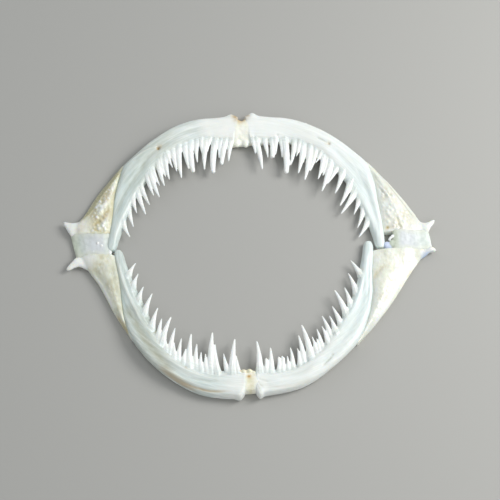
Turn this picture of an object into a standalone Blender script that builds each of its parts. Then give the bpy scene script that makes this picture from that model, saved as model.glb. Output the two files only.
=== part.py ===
"""Jaws of two monkfish (sea-devil anglerfish), dried and set mouth to mouth as one toothed ring.

The ring lies flat: +Z is up, +Y runs from the near jaw to the far jaw, and the origin is under
the ring's centre, on the surface it lies on. Each jaw has a left and a right dentary, which carry
the teeth, and outside each dentary's rear limb an articular with a hooked spine at the corner.
Ligament joins the two dentaries at the front, and dried cartilage joins the jaws at each corner.
"""
import math
import random

import bmesh
import bpy
from mathutils import Vector

MM = 0.001

# Gap left between pieces that touch, in mm
GAP = 0.3

# Angle between the cross-sections of a bone, in degrees, and how far the first ones lie from a
# dentary's front end and the last ones from its rear tip
STATION_STEP = 3.0
FRONT_STEPS = (0.0, 1.3, 2.8)
TIP_STEPS = (3.2, 1.8, 0.7, 0.0)

# The slant of a dentary's front end fades out over this many degrees
FRONT_FADE = 12.0

# What is left of the width and the thickness at the very tip of a dentary's limb
TIP_WIDTH = 0.45
TIP_THICKNESS = 0.67

# An articular starts this many degrees behind the front end of the line it shares
ARTICULAR_SET_BACK = 2.5

# Edges sharper than this are kept crisp, in degrees
CREASE = 40

# Thickness of a dentary from the front to the tip of its limb: (angle, mm)
DENTARY_THICKNESS = ((0, 6.0), (30, 5.4), (60, 4.6), (95, 3.6))

# Thickness of an articular from its front point to the corner: (angle, mm)
ARTICULAR_THICKNESS = ((45, 1.8), (62, 3.6), (75, 5.2), (92, 5.8))

# How far the middle of each dentary stands clear of the surface, and between which angles
ARCH_HEIGHT = 1.4
ARCH_FROM = 14.0
ARCH_TO = 66.0

# Cross-section of a dentary: (share of the way from outer to inner edge, share of thickness).
# The crest by the outer edge, the long groove and the ridge that carries the teeth are its top.
DENTARY_SECTION = (
    (0.00, 0.25), (0.00, 0.62), (0.10, 0.90), (0.28, 0.99), (0.48, 0.86), (0.66, 0.95),
    (0.80, 0.80), (0.94, 0.64), (1.00, 0.42), (0.90, 0.08), (0.66, 0.00), (0.30, 0.00),
    (0.08, 0.10),
)

# Cross-section of an articular, from the dentary's limb out to its thin margin
ARTICULAR_SECTION = (
    (0.00, 0.25), (0.00, 0.66), (0.14, 0.90), (0.40, 1.00), (0.68, 0.78),
    (0.90, 0.46), (1.00, 0.30), (0.96, 0.10), (0.80, 0.00), (0.24, 0.00), (0.06, 0.08),
)

# Free length of the teeth, in mm from where they leave the bone to the tip
TOOTH_LENGTH = {
    "fang": 17.8, "tusk": 16.0, "long": 14.6, "tall": 13.2, "middle": 11.5, "short": 9.8,
    "small": 8.2, "stub": 6.4,
}
TOOTH_LENGTH_SPREAD = 0.02
TOOTH_SEED = 7

# Where a tooth leaves the bone: share of the way across, and share of the thickness
TOOTH_SEAT = 0.86
TOOTH_SEAT_HEIGHT = 0.62

# A tooth's root runs this far back into the bone, in mm
TOOTH_ROOT = 2.2

# Rings of a tooth: (share of its length, mm of radius, radius added per mm of length)
TOOTH_RINGS = ((0.16, 0.74, 0.042), (0.60, 0.22, 0.052), (0.95, 0.11, 0.028))
TOOTH_SIDES = 5

# The short teeth stand in a row of their own above the long ones: height in mm, and below what
# length a tooth is short
SHORT_TOOTH_RISE = 0.6
SHORT_TOOTH = 9.0

# Each half jaw in plan. Pairs are (degrees from straight ahead, mm from the ring's centre).
# front is the angle of the front end at the outer edge, and skew what its inner edge adds.
HALVES = {
    "upper_left": {
        "up": 1, "side": -1, "front": 4.0, "skew": 3.4, "tip": 90.6, "end": (83.8, 85.2),
        "outer": ((4, 66.0), (6.8, 69.3), (10, 68.0), (20, 69.5), (28, 70.0), (36, 69.4),
                  (48, 68.6), (60, 70.6), (68, 71.8), (76, 73.4), (80, 74.8), (85, 76.4)),
        "limb": ((53, 69.8), (58, 67.0), (67, 63.4), (77, 60.6), (92, 60.3)),
        "inner": ((4, 52.6), (12, 54.6), (22, 57.6), (36, 58.4), (50, 56.2), (65, 54.8), (80, 55.0),
                  (92, 56.8)),
        "joint": (60.9, 75.9),
        "hook": ((-71.5, 10.9, 3.4), (-75.8, 10.9, 2.6), (-78.4, 12.1, 1.1), (-80.2, 13.4, 0.25)),
        "teeth": (
            (8, "middle", -6), (10.5, "tall", -8), (12.5, "short", -6), (15, "fang", -3),
            (17.5, "stub", -7), (19, "tusk", -2), (21, "small", 4), (23, "middle", 2),
            (26, "tusk", 6), (28.5, "tall", 9), (31.5, "tusk", 6), (34.5, "middle", 11),
            (37.5, "small", 20), (38.5, "tall", 10), (41.5, "short", 17), (43, "tall", 15),
            (47, "short", 23), (48.5, "long", 19), (50.5, "middle", 17), (56, "middle", 23),
            (59, "tall", 19), (63.5, "small", 15), (68.5, "short", 15), (76.5, "small", 25),
        ),
    },
    "upper_right": {
        "up": 1, "side": 1, "front": -1.8, "skew": 2.4, "tip": 89.2, "end": (82.2, 83.7),
        "outer": ((-2, 66.0), (1.2, 69.5), (4.5, 67.4), (17, 68.3), (30, 67.5), (45, 66.8),
                  (55, 69.0), (62, 70.5), (68, 71.5), (76, 74.0), (83, 77.2)),
        "limb": ((50, 67.2), (57, 65.0), (67, 60.9), (77, 59.3), (92, 58.3)),
        "inner": ((-2, 53.0), (8, 54.0), (20, 57.0), (30, 56.8), (42, 54.4), (52, 53.8), (64, 52.2),
                  (78, 52.8), (92, 54.5)),
        "joint": (61.4, 76.4),
        "hook": ((71.6, 12.4, 3.2), (76.0, 11.4, 2.2), (78.4, 12.8, 0.9), (80.2, 14.2, 0.25)),
        "teeth": (
            (1.5, "small", -10), (3, "tusk", -11), (7, "short", -10), (10.5, "short", -1),
            (12, "small", -1), (14.5, "short", -2), (16, "fang", -2), (20.5, "tall", 9),
            (23, "small", 13), (24.5, "tusk", 9), (25.5, "short", 6), (28, "fang", 9),
            (31, "middle", 14), (34, "stub", 26), (35.5, "tall", 13), (37.5, "short", 13),
            (40, "tusk", 16), (44, "short", 28), (47.5, "middle", 19), (53.5, "tall", 23),
            (58.5, "tall", 31), (63, "small", 19), (68, "short", 17), (74.5, "short", 29),
        ),
    },
    "lower_left": {
        "up": -1, "side": -1, "front": 1.2, "skew": 0.0, "tip": 89.8, "end": (87.2, 88.0),
        "outer": ((1, 67.0), (2.2, 69.2), (5, 68.8), (16, 69.2), (30, 67.2), (45, 65.0),
                  (60, 63.2), (75, 65.4), (82, 69.2), (88, 72.6)),
        "limb": ((49, 64.5), (59, 60.8), (70, 57.4), (80, 56.5), (90, 57.6)),
        "inner": ((1, 56.0), (10, 57.0), (25, 58.2), (34, 57.2), (47, 53.4), (58, 50.9), (70, 50.7),
                  (80, 51.8), (90, 53.6)),
        "joint": (60.9, 72.4),
        "hook": ((-69.0, -6.6, 3.0), (-73.0, -6.6, 2.1), (-75.4, -8.4, 1.0), (-77.5, -10.0, 0.25)),
        "teeth": (
            (4, "small", -7), (6.5, "tusk", 3), (8.2, "short", -12), (12.5, "tall", -5),
            (15, "fang", 1), (16.8, "small", -4), (19, "small", -1), (21, "middle", 0),
            (24, "long", 2), (26.5, "stub", 6), (29, "short", 6), (31, "stub", -1),
            (33.5, "middle", 10), (35.5, "stub", -4), (38.5, "tall", 16), (41, "short", 7),
            (47, "short", 14), (55, "short", 18), (62.5, "stub", 17), (70, "stub", 18),
            (76.5, "stub", 26),
        ),
    },
    "lower_right": {
        "up": -1, "side": 1, "front": 2.4, "skew": 0.8, "tip": 94.6, "end": (89.6, 91.2),
        "outer": ((2.2, 66.0), (3.6, 68.6), (5.6, 67.4), (9, 67.0), (20, 66.4), (33, 64.0),
                  (45, 62.6), (58, 63.0), (70, 65.2), (80, 68.8), (86, 73.0), (91, 78.2)),
        "limb": ((46, 62.6), (58, 59.0), (68, 56.2), (78, 53.6), (95, 52.9)),
        "inner": ((2, 55.8), (12, 56.6), (20, 57.0), (32, 55.0), (42, 52.0), (52, 50.2), (65, 48.4),
                  (80, 47.7), (95, 48.9)),
        "joint": (61.4, 77.9),
        "hook": ((73.0, -2.4, 2.8), (76.6, -0.8, 1.7), (78.8, -0.4, 0.8), (80.2, -0.7, 0.25)),
        "teeth": (
            (4.5, "long", 5), (7, "stub", -2), (9, "middle", 1), (12.2, "stub", -1),
            (13.8, "stub", -1), (16, "stub", 3), (18, "short", 6), (21, "small", 7),
            (23, "tall", 10), (26.5, "tusk", 14), (29.5, "small", 14), (31, "stub", 12),
            (32.5, "short", 13), (36, "small", 17), (38.5, "middle", 19), (42, "small", 18),
            (46.5, "short", 22), (52, "tall", 22), (57, "short", 15), (65.5, "short", 19),
            (72, "small", 22),
        ),
    },
}

# Rings of a hook from its root to its tip, in mm: (height of the middle, half thickness). Where
# they lie and half their width are in each half's hook: (x, y, half width).
HOOK_RINGS = ((2.4, 1.9), (2.4, 1.5), (2.3, 0.9), (2.2, 0.25))
HOOK_SIDES = 8

# Dried cartilage at a corner, in mm: how far its outer side bulges, its height, and how much
# its top sags between the bones
JOINT_BULGE = 0.5
JOINT_HEIGHT = 4.4
JOINT_SAG = 0.5

# Cross-section of the cartilage: (share of the way out, share of its height)
JOINT_SECTION = (
    (0.00, 0.15), (0.00, 0.80), (0.15, 1.00), (0.60, 1.00), (0.92, 0.70), (1.00, 0.40),
    (0.94, 0.00), (0.08, 0.00),
)
JOINT_STATIONS = 6

# Ligament between the front ends: share of the way across where it starts, and its heights
LIGAMENT_START = 0.12
LIGAMENT_TOP = 4.6
LIGAMENT_CROWN = 5.4
LIGAMENT_BASE = 0.6
LIGAMENT_STATIONS = 5

BONE_COOL = (0.78, 0.80, 0.78, 1.0)
BONE_CREAM = (0.76, 0.70, 0.52, 1.0)
CARTILAGE = (0.42, 0.40, 0.40, 1.0)
LIGAMENT = (0.66, 0.52, 0.28, 1.0)


def clear_scene():
    """Take away whatever the file holds, so that only the jaws are in it."""
    for item in list(bpy.data.objects):
        bpy.data.objects.remove(item, do_unlink=True)


def make_material(name, colour, roughness):
    material = bpy.data.materials.new(name)
    material.use_nodes = True
    shader = material.node_tree.nodes["Principled BSDF"]
    shader.inputs["Base Color"].default_value = colour
    shader.inputs["Roughness"].default_value = roughness
    shader.inputs["Metallic"].default_value = 0.0
    return material


def smooth_value(pairs, at):
    """Value at a position on a smooth curve through (position, value) pairs."""
    if at <= pairs[0][0]:
        return pairs[0][1]
    if at >= pairs[-1][0]:
        return pairs[-1][1]
    slopes = [(b[1] - a[1]) / (b[0] - a[0]) for a, b in zip(pairs, pairs[1:])]
    index = max(i for i, pair in enumerate(pairs[:-1]) if pair[0] <= at)
    start, stop = pairs[index], pairs[index + 1]
    before = slopes[index - 1] if index > 0 else slopes[index]
    after = slopes[index + 1] if index + 1 < len(slopes) else slopes[index]
    width = stop[0] - start[0]
    t = (at - start[0]) / width
    start_slope = 0.5 * (before + slopes[index]) * width
    stop_slope = 0.5 * (slopes[index] + after) * width
    return ((2 * t ** 3 - 3 * t ** 2 + 1) * start[1] + (t ** 3 - 2 * t ** 2 + t) * start_slope
            + (3 * t ** 2 - 2 * t ** 3) * stop[1] + (t ** 3 - t ** 2) * stop_slope)


def plan_point(half, angle, radius, height):
    """Point at an angle from the jaw's midline, a radius and a height, in mm."""
    turn = math.radians(angle)
    return Vector((half["side"] * radius * math.sin(turn),
                   half["up"] * radius * math.cos(turn), height))


def stations(start, stop):
    """Angles from start to stop, about one station step apart."""
    count = max(2, round((stop - start) / STATION_STEP))
    return [start + (stop - start) * i / count for i in range(count + 1)]


def dentary_stations(half):
    """Angles along a dentary, closer together round its front corner and its rear tip."""
    front = [half["front"] + step for step in FRONT_STEPS]
    rear = [half["tip"] - step for step in TIP_STEPS]
    return front[:-1] + stations(front[-1], rear[0]) + rear[1:]


def loft(name, rings, tip=None):
    """Closed mesh through rings of points in mm, each with as many points, and up to any tip."""
    mesh = bmesh.new()
    rows = [[mesh.verts.new(point * MM) for point in ring] for ring in rings]
    for row, following in zip(rows, rows[1:]):
        for i in range(len(row)):
            j = (i + 1) % len(row)
            mesh.faces.new((row[i], row[j], following[j], following[i]))
    mesh.faces.new(list(reversed(rows[0])))
    if tip is None:
        mesh.faces.new(rows[-1])
    else:
        point = mesh.verts.new(tip * MM)
        for i in range(len(rows[-1])):
            mesh.faces.new((rows[-1][i], rows[-1][(i + 1) % len(rows[-1])], point))
    bmesh.ops.triangulate(mesh, faces=mesh.faces[:])
    bmesh.ops.recalc_face_normals(mesh, faces=mesh.faces[:])
    data = bpy.data.meshes.new(name)
    mesh.to_mesh(data)
    mesh.free()
    return bpy.data.objects.new(name, data)


def lift(angle):
    """Height of a dentary's underside above the surface."""
    share = (angle - ARCH_FROM) / (ARCH_TO - ARCH_FROM)
    if share <= 0.0 or share >= 1.0:
        return 0.0
    return ARCH_HEIGHT * math.sin(math.pi * share) ** 2


def dentary_outer(half, angle):
    """Radius of a dentary's outer edge: the jaw's margin, then the line it shares behind."""
    radius = smooth_value(half["outer"], angle)
    if angle > half["limb"][0][0]:
        radius = min(radius, smooth_value(half["limb"], angle) - 0.5 * GAP)
    return radius


def front_skew(half, angle, share):
    """Extra angle that slants the front end of a dentary."""
    fade = max(0.0, 1.0 - (angle - half["front"]) / FRONT_FADE)
    return half["skew"] * share * fade


def dentary_point(half, angle, share, level):
    """Point of a dentary at a share of the way across and a share of its thickness."""
    outer = dentary_outer(half, angle)
    inner = smooth_value(half["inner"], angle)
    thickness = smooth_value(DENTARY_THICKNESS, angle)
    # The last few degrees of the limb close in to a rounded tip
    left = (half["tip"] - angle) / TIP_STEPS[0]
    if left < 1.0:
        swell = math.sqrt(max(0.0, 1.0 - (1.0 - left) ** 2))
        share = 0.5 + (share - 0.5) * (TIP_WIDTH + (1.0 - TIP_WIDTH) * swell)
        level = 0.5 + (level - 0.5) * (TIP_THICKNESS + (1.0 - TIP_THICKNESS) * swell)
    return plan_point(half, angle, outer + (inner - outer) * share,
                      lift(angle) + thickness * level)


def make_dentary(name, half):
    rings = [[dentary_point(half, angle + front_skew(half, angle, share), share, level)
              for share, level in DENTARY_SECTION]
             for angle in dentary_stations(half)]
    return loft(name, rings)


def oval(centre, across, height, sides):
    """Upright ring of points round a centre, with half its width along across."""
    turns = [2.0 * math.pi * k / sides for k in range(sides)]
    return [centre + across * math.cos(turn) + Vector((0.0, 0.0, height * math.sin(turn)))
            for turn in turns]


def make_tooth(name, half, tooth, draw):
    """Tapered tooth with its root sunk in the bone and its tip at the other jaw."""
    angle, size, lean = tooth
    length = TOOTH_LENGTH[size] * (1.0 + draw.uniform(-TOOTH_LENGTH_SPREAD, TOOTH_LENGTH_SPREAD))
    lean = math.radians(lean)
    ahead = Vector((-half["side"] * math.sin(lean), -half["up"] * math.cos(lean), 0.0))
    across = Vector((-ahead.y, ahead.x, 0.0))
    seat = dentary_point(half, angle, TOOTH_SEAT, TOOTH_SEAT_HEIGHT)
    if length < SHORT_TOOTH:
        seat.z += SHORT_TOOTH_RISE
    rings = []
    places = [(-TOOTH_ROOT, TOOTH_RINGS[0])]
    places += [(length * ring[0], ring) for ring in TOOTH_RINGS]
    for place, (_, radius, growth) in places:
        radius += growth * length
        centre = seat + ahead * place
        rings.append(oval(centre, across * radius, radius, TOOTH_SIDES))
    return loft(name, rings, tip=seat + ahead * length)


def make_teeth(name, half):
    draw = random.Random(TOOTH_SEED)
    return [make_tooth(name + "_tooth", half, tooth, draw) for tooth in half["teeth"]]


def articular_point(half, angle, share, level):
    """Point of an articular at a share of the way out and a share of its thickness."""
    start = half["limb"][0][0]
    inner_end, outer_end = half["end"]
    angle += (outer_end - inner_end) * share * (angle - start) / (inner_end - start)
    inner = smooth_value(half["limb"], angle) + 0.5 * GAP
    outer = smooth_value(half["outer"], angle)
    return plan_point(half, angle, inner + (outer - inner) * share,
                      smooth_value(ARTICULAR_THICKNESS, angle) * level)


def make_articular(name, half):
    start = half["limb"][0][0] + ARTICULAR_SET_BACK
    rings = [[articular_point(half, angle, share, level) for share, level in ARTICULAR_SECTION]
             for angle in stations(start, half["end"][0])]
    return loft(name, rings)


def make_hook(name, half):
    """Flattened spine at the corner, drawn out to a point."""
    centres = [Vector((x, y, level)) for (x, y, _), (level, _) in zip(half["hook"], HOOK_RINGS)]
    rings = []
    for i, (centre, spec, ring) in enumerate(zip(centres, half["hook"], HOOK_RINGS)):
        ahead = centres[min(i + 1, len(centres) - 1)] - centres[max(i - 1, 0)]
        across = Vector((-ahead.y, ahead.x, 0.0)).normalized()
        rings.append(oval(centre, across * spec[2], ring[1], HOOK_SIDES))
    return loft(name, rings)


def make_joint(name, upper, lower):
    """Dried cartilage between the ends of the two articulars of one side."""
    corners = []
    for half in (upper, lower):
        inner_end = articular_point(half, half["end"][0], 0.0, 0.0)
        outer_end = articular_point(half, half["end"][0], 1.0, 0.0)
        pair = []
        for reach in half["joint"]:
            share = (half["side"] * reach - inner_end.x) / (outer_end.x - inner_end.x)
            point = inner_end.lerp(outer_end, share)
            point.y -= half["up"] * GAP
            pair.append(point)
        corners.append(pair)
    (inner_a, outer_a), (inner_b, outer_b) = corners
    rings = []
    for i in range(JOINT_STATIONS + 1):
        t = i / JOINT_STATIONS
        middle = math.sin(math.pi * t)
        inner = inner_a.lerp(inner_b, t)
        outer = outer_a.lerp(outer_b, t)
        outer.x += upper["side"] * JOINT_BULGE * middle
        ring = []
        for share, level in JOINT_SECTION:
            point = inner.lerp(outer, share)
            point.z = (JOINT_HEIGHT - JOINT_SAG * middle) * level
            ring.append(point)
        rings.append(ring)
    return loft(name, rings)


def make_ligament(name, left, right):
    """Ligament that fills the gap between the front ends of a jaw's two dentaries."""
    rings = []
    for i in range(LIGAMENT_STATIONS + 1):
        share = LIGAMENT_START + (1.0 - LIGAMENT_START) * i / LIGAMENT_STATIONS
        sides = []
        for half in (left, right):
            angle = half["front"]
            outer = dentary_outer(half, angle)
            inner = smooth_value(half["inner"], angle)
            radius = outer + (inner - outer) * share
            back = math.degrees(GAP / radius)
            sides.append(plan_point(half, angle + half["skew"] * share - back, radius, 0.0))
        a, b = sides
        middle = a.lerp(b, 0.5)
        ring = []
        for point, height in ((a, LIGAMENT_BASE), (a, LIGAMENT_TOP), (middle, LIGAMENT_CROWN),
                              (b, LIGAMENT_TOP), (b, LIGAMENT_BASE)):
            corner = point.copy()
            corner.z = height
            ring.append(corner)
        rings.append(ring)
    return loft(name, rings)


def keep_largest_surface(data):
    """Leave only the closed surface with the most points."""
    mesh = bmesh.new()
    mesh.from_mesh(data)
    seen = set()
    surfaces = []
    for start in mesh.verts:
        if start in seen:
            continue
        seen.add(start)
        surface = [start]
        for vert in surface:
            for link in vert.link_edges:
                other = link.other_vert(vert)
                if other not in seen:
                    seen.add(other)
                    surface.append(other)
        surfaces.append(surface)
    surfaces.sort(key=len)
    loose = [vert for surface in surfaces[:-1] for vert in surface]
    bmesh.ops.delete(mesh, geom=loose, context="VERTS")
    bmesh.ops.triangulate(mesh, faces=mesh.faces[:])
    mesh.to_mesh(data)
    mesh.free()


def fuse(body, pieces, collection):
    """Join pieces to a body with one union, and keep its outer surface."""
    collection.objects.link(body)
    joined = bpy.data.collections.new(body.name + "_pieces")
    bpy.context.scene.collection.children.link(joined)
    for piece in pieces:
        joined.objects.link(piece)
    union = body.modifiers.new("union", "BOOLEAN")
    union.operation = "UNION"
    union.operand_type = "COLLECTION"
    union.collection = joined
    union.solver = "EXACT"
    graph = bpy.context.evaluated_depsgraph_get()
    solid = bpy.data.meshes.new_from_object(body.evaluated_get(graph))
    body.modifiers.clear()
    body.data = solid
    for piece in pieces:
        bpy.data.objects.remove(piece, do_unlink=True)
    bpy.data.collections.remove(joined)
    keep_largest_surface(solid)


def finish_node(item, material):
    item.data.materials.clear()
    item.data.materials.append(material)
    item.data.shade_smooth()
    item.data.set_sharp_from_angle(angle=math.radians(CREASE))


def build():
    clear_scene()
    jaws = bpy.data.collections.new("anglerfish_jaws")
    bpy.context.scene.collection.children.link(jaws)
    for name, half in HALVES.items():
        dentary = make_dentary(name + "_dentary", half)
        fuse(dentary, make_teeth(name, half), jaws)
        finish_node(dentary, make_material(name + "_dentary", BONE_COOL, 0.38))
        articular = make_articular(name + "_articular", half)
        fuse(articular, [make_hook(name + "_hook", half)], jaws)
        finish_node(articular, make_material(name + "_articular", BONE_CREAM, 0.5))
    for side in ("left", "right"):
        joint = make_joint(side + "_joint", HALVES["upper_" + side], HALVES["lower_" + side])
        jaws.objects.link(joint)
        finish_node(joint, make_material(side + "_joint", CARTILAGE, 0.3))
    for jaw in ("upper", "lower"):
        ligament = make_ligament(jaw + "_ligament", HALVES[jaw + "_left"], HALVES[jaw + "_right"])
        jaws.objects.link(ligament)
        finish_node(ligament, make_material(jaw + "_ligament", LIGAMENT, 0.45))


build()
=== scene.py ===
"""Monkfish jaws, cleaned, dried and set mouth to mouth: the finished look of the toothed ring.

Lengths are in millimetres until a mesh is made. Each jaw is laid out in polar form round the
ring's centre: an angle from straight ahead along the jaw's midline, and a share of the way from
a bone's outer edge to its inner edge.
"""
import math
import random

import bmesh
import bpy
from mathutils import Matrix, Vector, noise
from mathutils.bvhtree import BVHTree
from mathutils.interpolate import poly_3d_calc


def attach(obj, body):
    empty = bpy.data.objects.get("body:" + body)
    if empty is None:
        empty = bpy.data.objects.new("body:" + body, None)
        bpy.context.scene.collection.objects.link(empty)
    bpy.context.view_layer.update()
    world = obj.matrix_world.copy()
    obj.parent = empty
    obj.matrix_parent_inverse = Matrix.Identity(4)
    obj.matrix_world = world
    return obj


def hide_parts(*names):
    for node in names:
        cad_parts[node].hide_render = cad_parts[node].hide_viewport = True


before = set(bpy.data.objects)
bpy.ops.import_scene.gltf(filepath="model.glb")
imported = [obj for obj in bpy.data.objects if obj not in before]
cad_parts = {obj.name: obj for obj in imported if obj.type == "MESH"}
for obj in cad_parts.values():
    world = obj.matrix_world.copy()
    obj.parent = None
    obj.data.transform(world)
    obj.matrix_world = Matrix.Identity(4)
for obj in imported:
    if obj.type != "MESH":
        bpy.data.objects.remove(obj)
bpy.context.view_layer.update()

MM = 0.001

# Radius of the ring that the bones' grain follows
RING_RADIUS = 62.0

# Camera: where it aims, how steeply it looks down, how far off it is, and its telephoto lens
CAMERA_AIM = (0.5, -0.14, 2.5)
CAMERA_ELEVATION = 62.0
CAMERA_DISTANCE = 638.3
CAMERA_LENS = 108.0
CAMERA_SENSOR = 36.0

# How far a plate's inner edge tucks under the limb, and how far soft tissue laps a bone's end
PLATE_LAP = 0.3
TISSUE_LAP = 1.3

# The corner where the limb leaves the margin is rounded over this much
EDGE_ROUND = 0.9

# Degrees over which a dentary's front end loses its slant and its cream, and is rounded off
FRONT_FADE = 12.0
FRONT_CREAM = 13.0
FRONT_ROUND = 0.3

# The rear tip of a dentary's limb closes over this many degrees, down to these shares of its
# width and thickness, and its end is rounded over the last ones
TIP_CLOSE = 3.2
TIP_WIDTH = 0.45
TIP_THICKNESS = 0.67
TIP_ROUND = 0.5

# Thickness of the bones by angle, and how a dentary arches off the floor between two angles
DENTARY_THICKNESS = ((0, 5.7), (30, 5.22), (60, 4.5), (95, 3.6))
ARTICULAR_THICKNESS = ((45, 4.4), (55, 4.0), (62, 4.3), (72, 4.9), (78, 5.1), (83, 4.6), (92, 4.4))
ARCH_HEIGHT = 1.4
ARCH_FROM = 14.0
ARCH_TO = 66.0

# Sizes of the voxels that join overlapping shells into one surface
BONE_VOXEL = 0.23
PLATE_VOXEL = 0.22
SOFT_VOXEL = 0.25

# Tints that the materials read at each point, from 0 to 1. The white one is the bone's own
# paleness together with painted light: highlights painted along ridges and on the tops of lumps,
# and paleness painted over the halves that the light falls on most. The shade one is painted
# shade in grooves, pits, flutes and over the dim halves, and elsewhere an olive tone. The cool one
# is a bluish tone: on the bones and under a hook it is partly painted shade, on flanks and in
# grooves, and on the cartilage it is its own lilac grey.
TINTS = ("tooth", "knob", "shade", "stain", "pearl", "cool", "thin")

# Closed curve round a dentary: (share of the way from outer to inner edge, share of thickness)
DENTARY_CURVE = (
    (0.00, 0.22), (0.00, 0.50), (0.05, 0.78), (0.14, 0.91), (0.28, 0.98), (0.48, 1.00),
    (0.68, 0.97), (0.84, 0.84), (0.95, 0.64), (1.00, 0.42), (0.97, 0.16), (0.86, 0.02),
    (0.60, 0.00), (0.30, 0.00), (0.09, 0.04),
)
# The part of that curve that faces up, by point
DENTARY_TOP = (1, 9)

ARTICULAR_CURVE = (
    (0.00, 0.22), (0.00, 0.62), (0.05, 0.76), (0.14, 0.88), (0.28, 0.96), (0.42, 0.98),
    (0.56, 0.90), (0.70, 0.76), (0.84, 0.56), (0.95, 0.39), (1.00, 0.28), (0.97, 0.10),
    (0.80, 0.00), (0.50, 0.00), (0.22, 0.00), (0.05, 0.05),
)
ARTICULAR_TOP = (1, 10)

# Beside the limb an articular starts as a full wedge, which thins out over this many degrees
WEDGE_FADE = 9.0

# Free length of a tooth by its size, in mm, and the share by which it varies
TOOTH_LENGTH = {
    "fang": 17.8, "tusk": 16.0, "long": 14.6, "tall": 13.2, "middle": 11.5, "short": 9.8,
    "small": 8.2, "stub": 6.4,
}
TOOTH_LENGTH_SPREAD = 0.02
TOOTH_SEED = 7

# Where a tooth stands: share of the way across the bone, and share of its thickness
TOOTH_SEAT = 0.86
TOOTH_SEAT_HEIGHT = 0.59

# A tooth shorter than this stands this much higher
SHORT_TOOTH = 9.0
SHORT_TOOTH_RISE = 0.45

# Radius of a tooth along its length: (share of the length, mm, mm more per mm of length)
TOOTH_TAPER = ((0.00, 0.96, 0.046), (0.16, 0.80, 0.041), (0.60, 0.28, 0.050), (0.95, 0.12, 0.028))

# How a tooth differs: (radius at the tip, radius at the base, share of the length that is left)
TOOTH_STYLE = {
    "sharp": (0.72, 1.00, 1.00), "blunt": (1.65, 1.02, 0.99), "broad": (0.80, 1.30, 1.00),
    "stout": (2.60, 1.22, 1.00), "broken": (2.30, 1.10, 0.97),
}

# A tooth leans more towards the jaw's midline at its tip than at its base
TOOTH_BEND = 0.11
TOOTH_FLUTES = 9
TOOTH_SIDES = 18
# Its height as a share of its width
TOOTH_FLATNESS = 0.85
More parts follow.
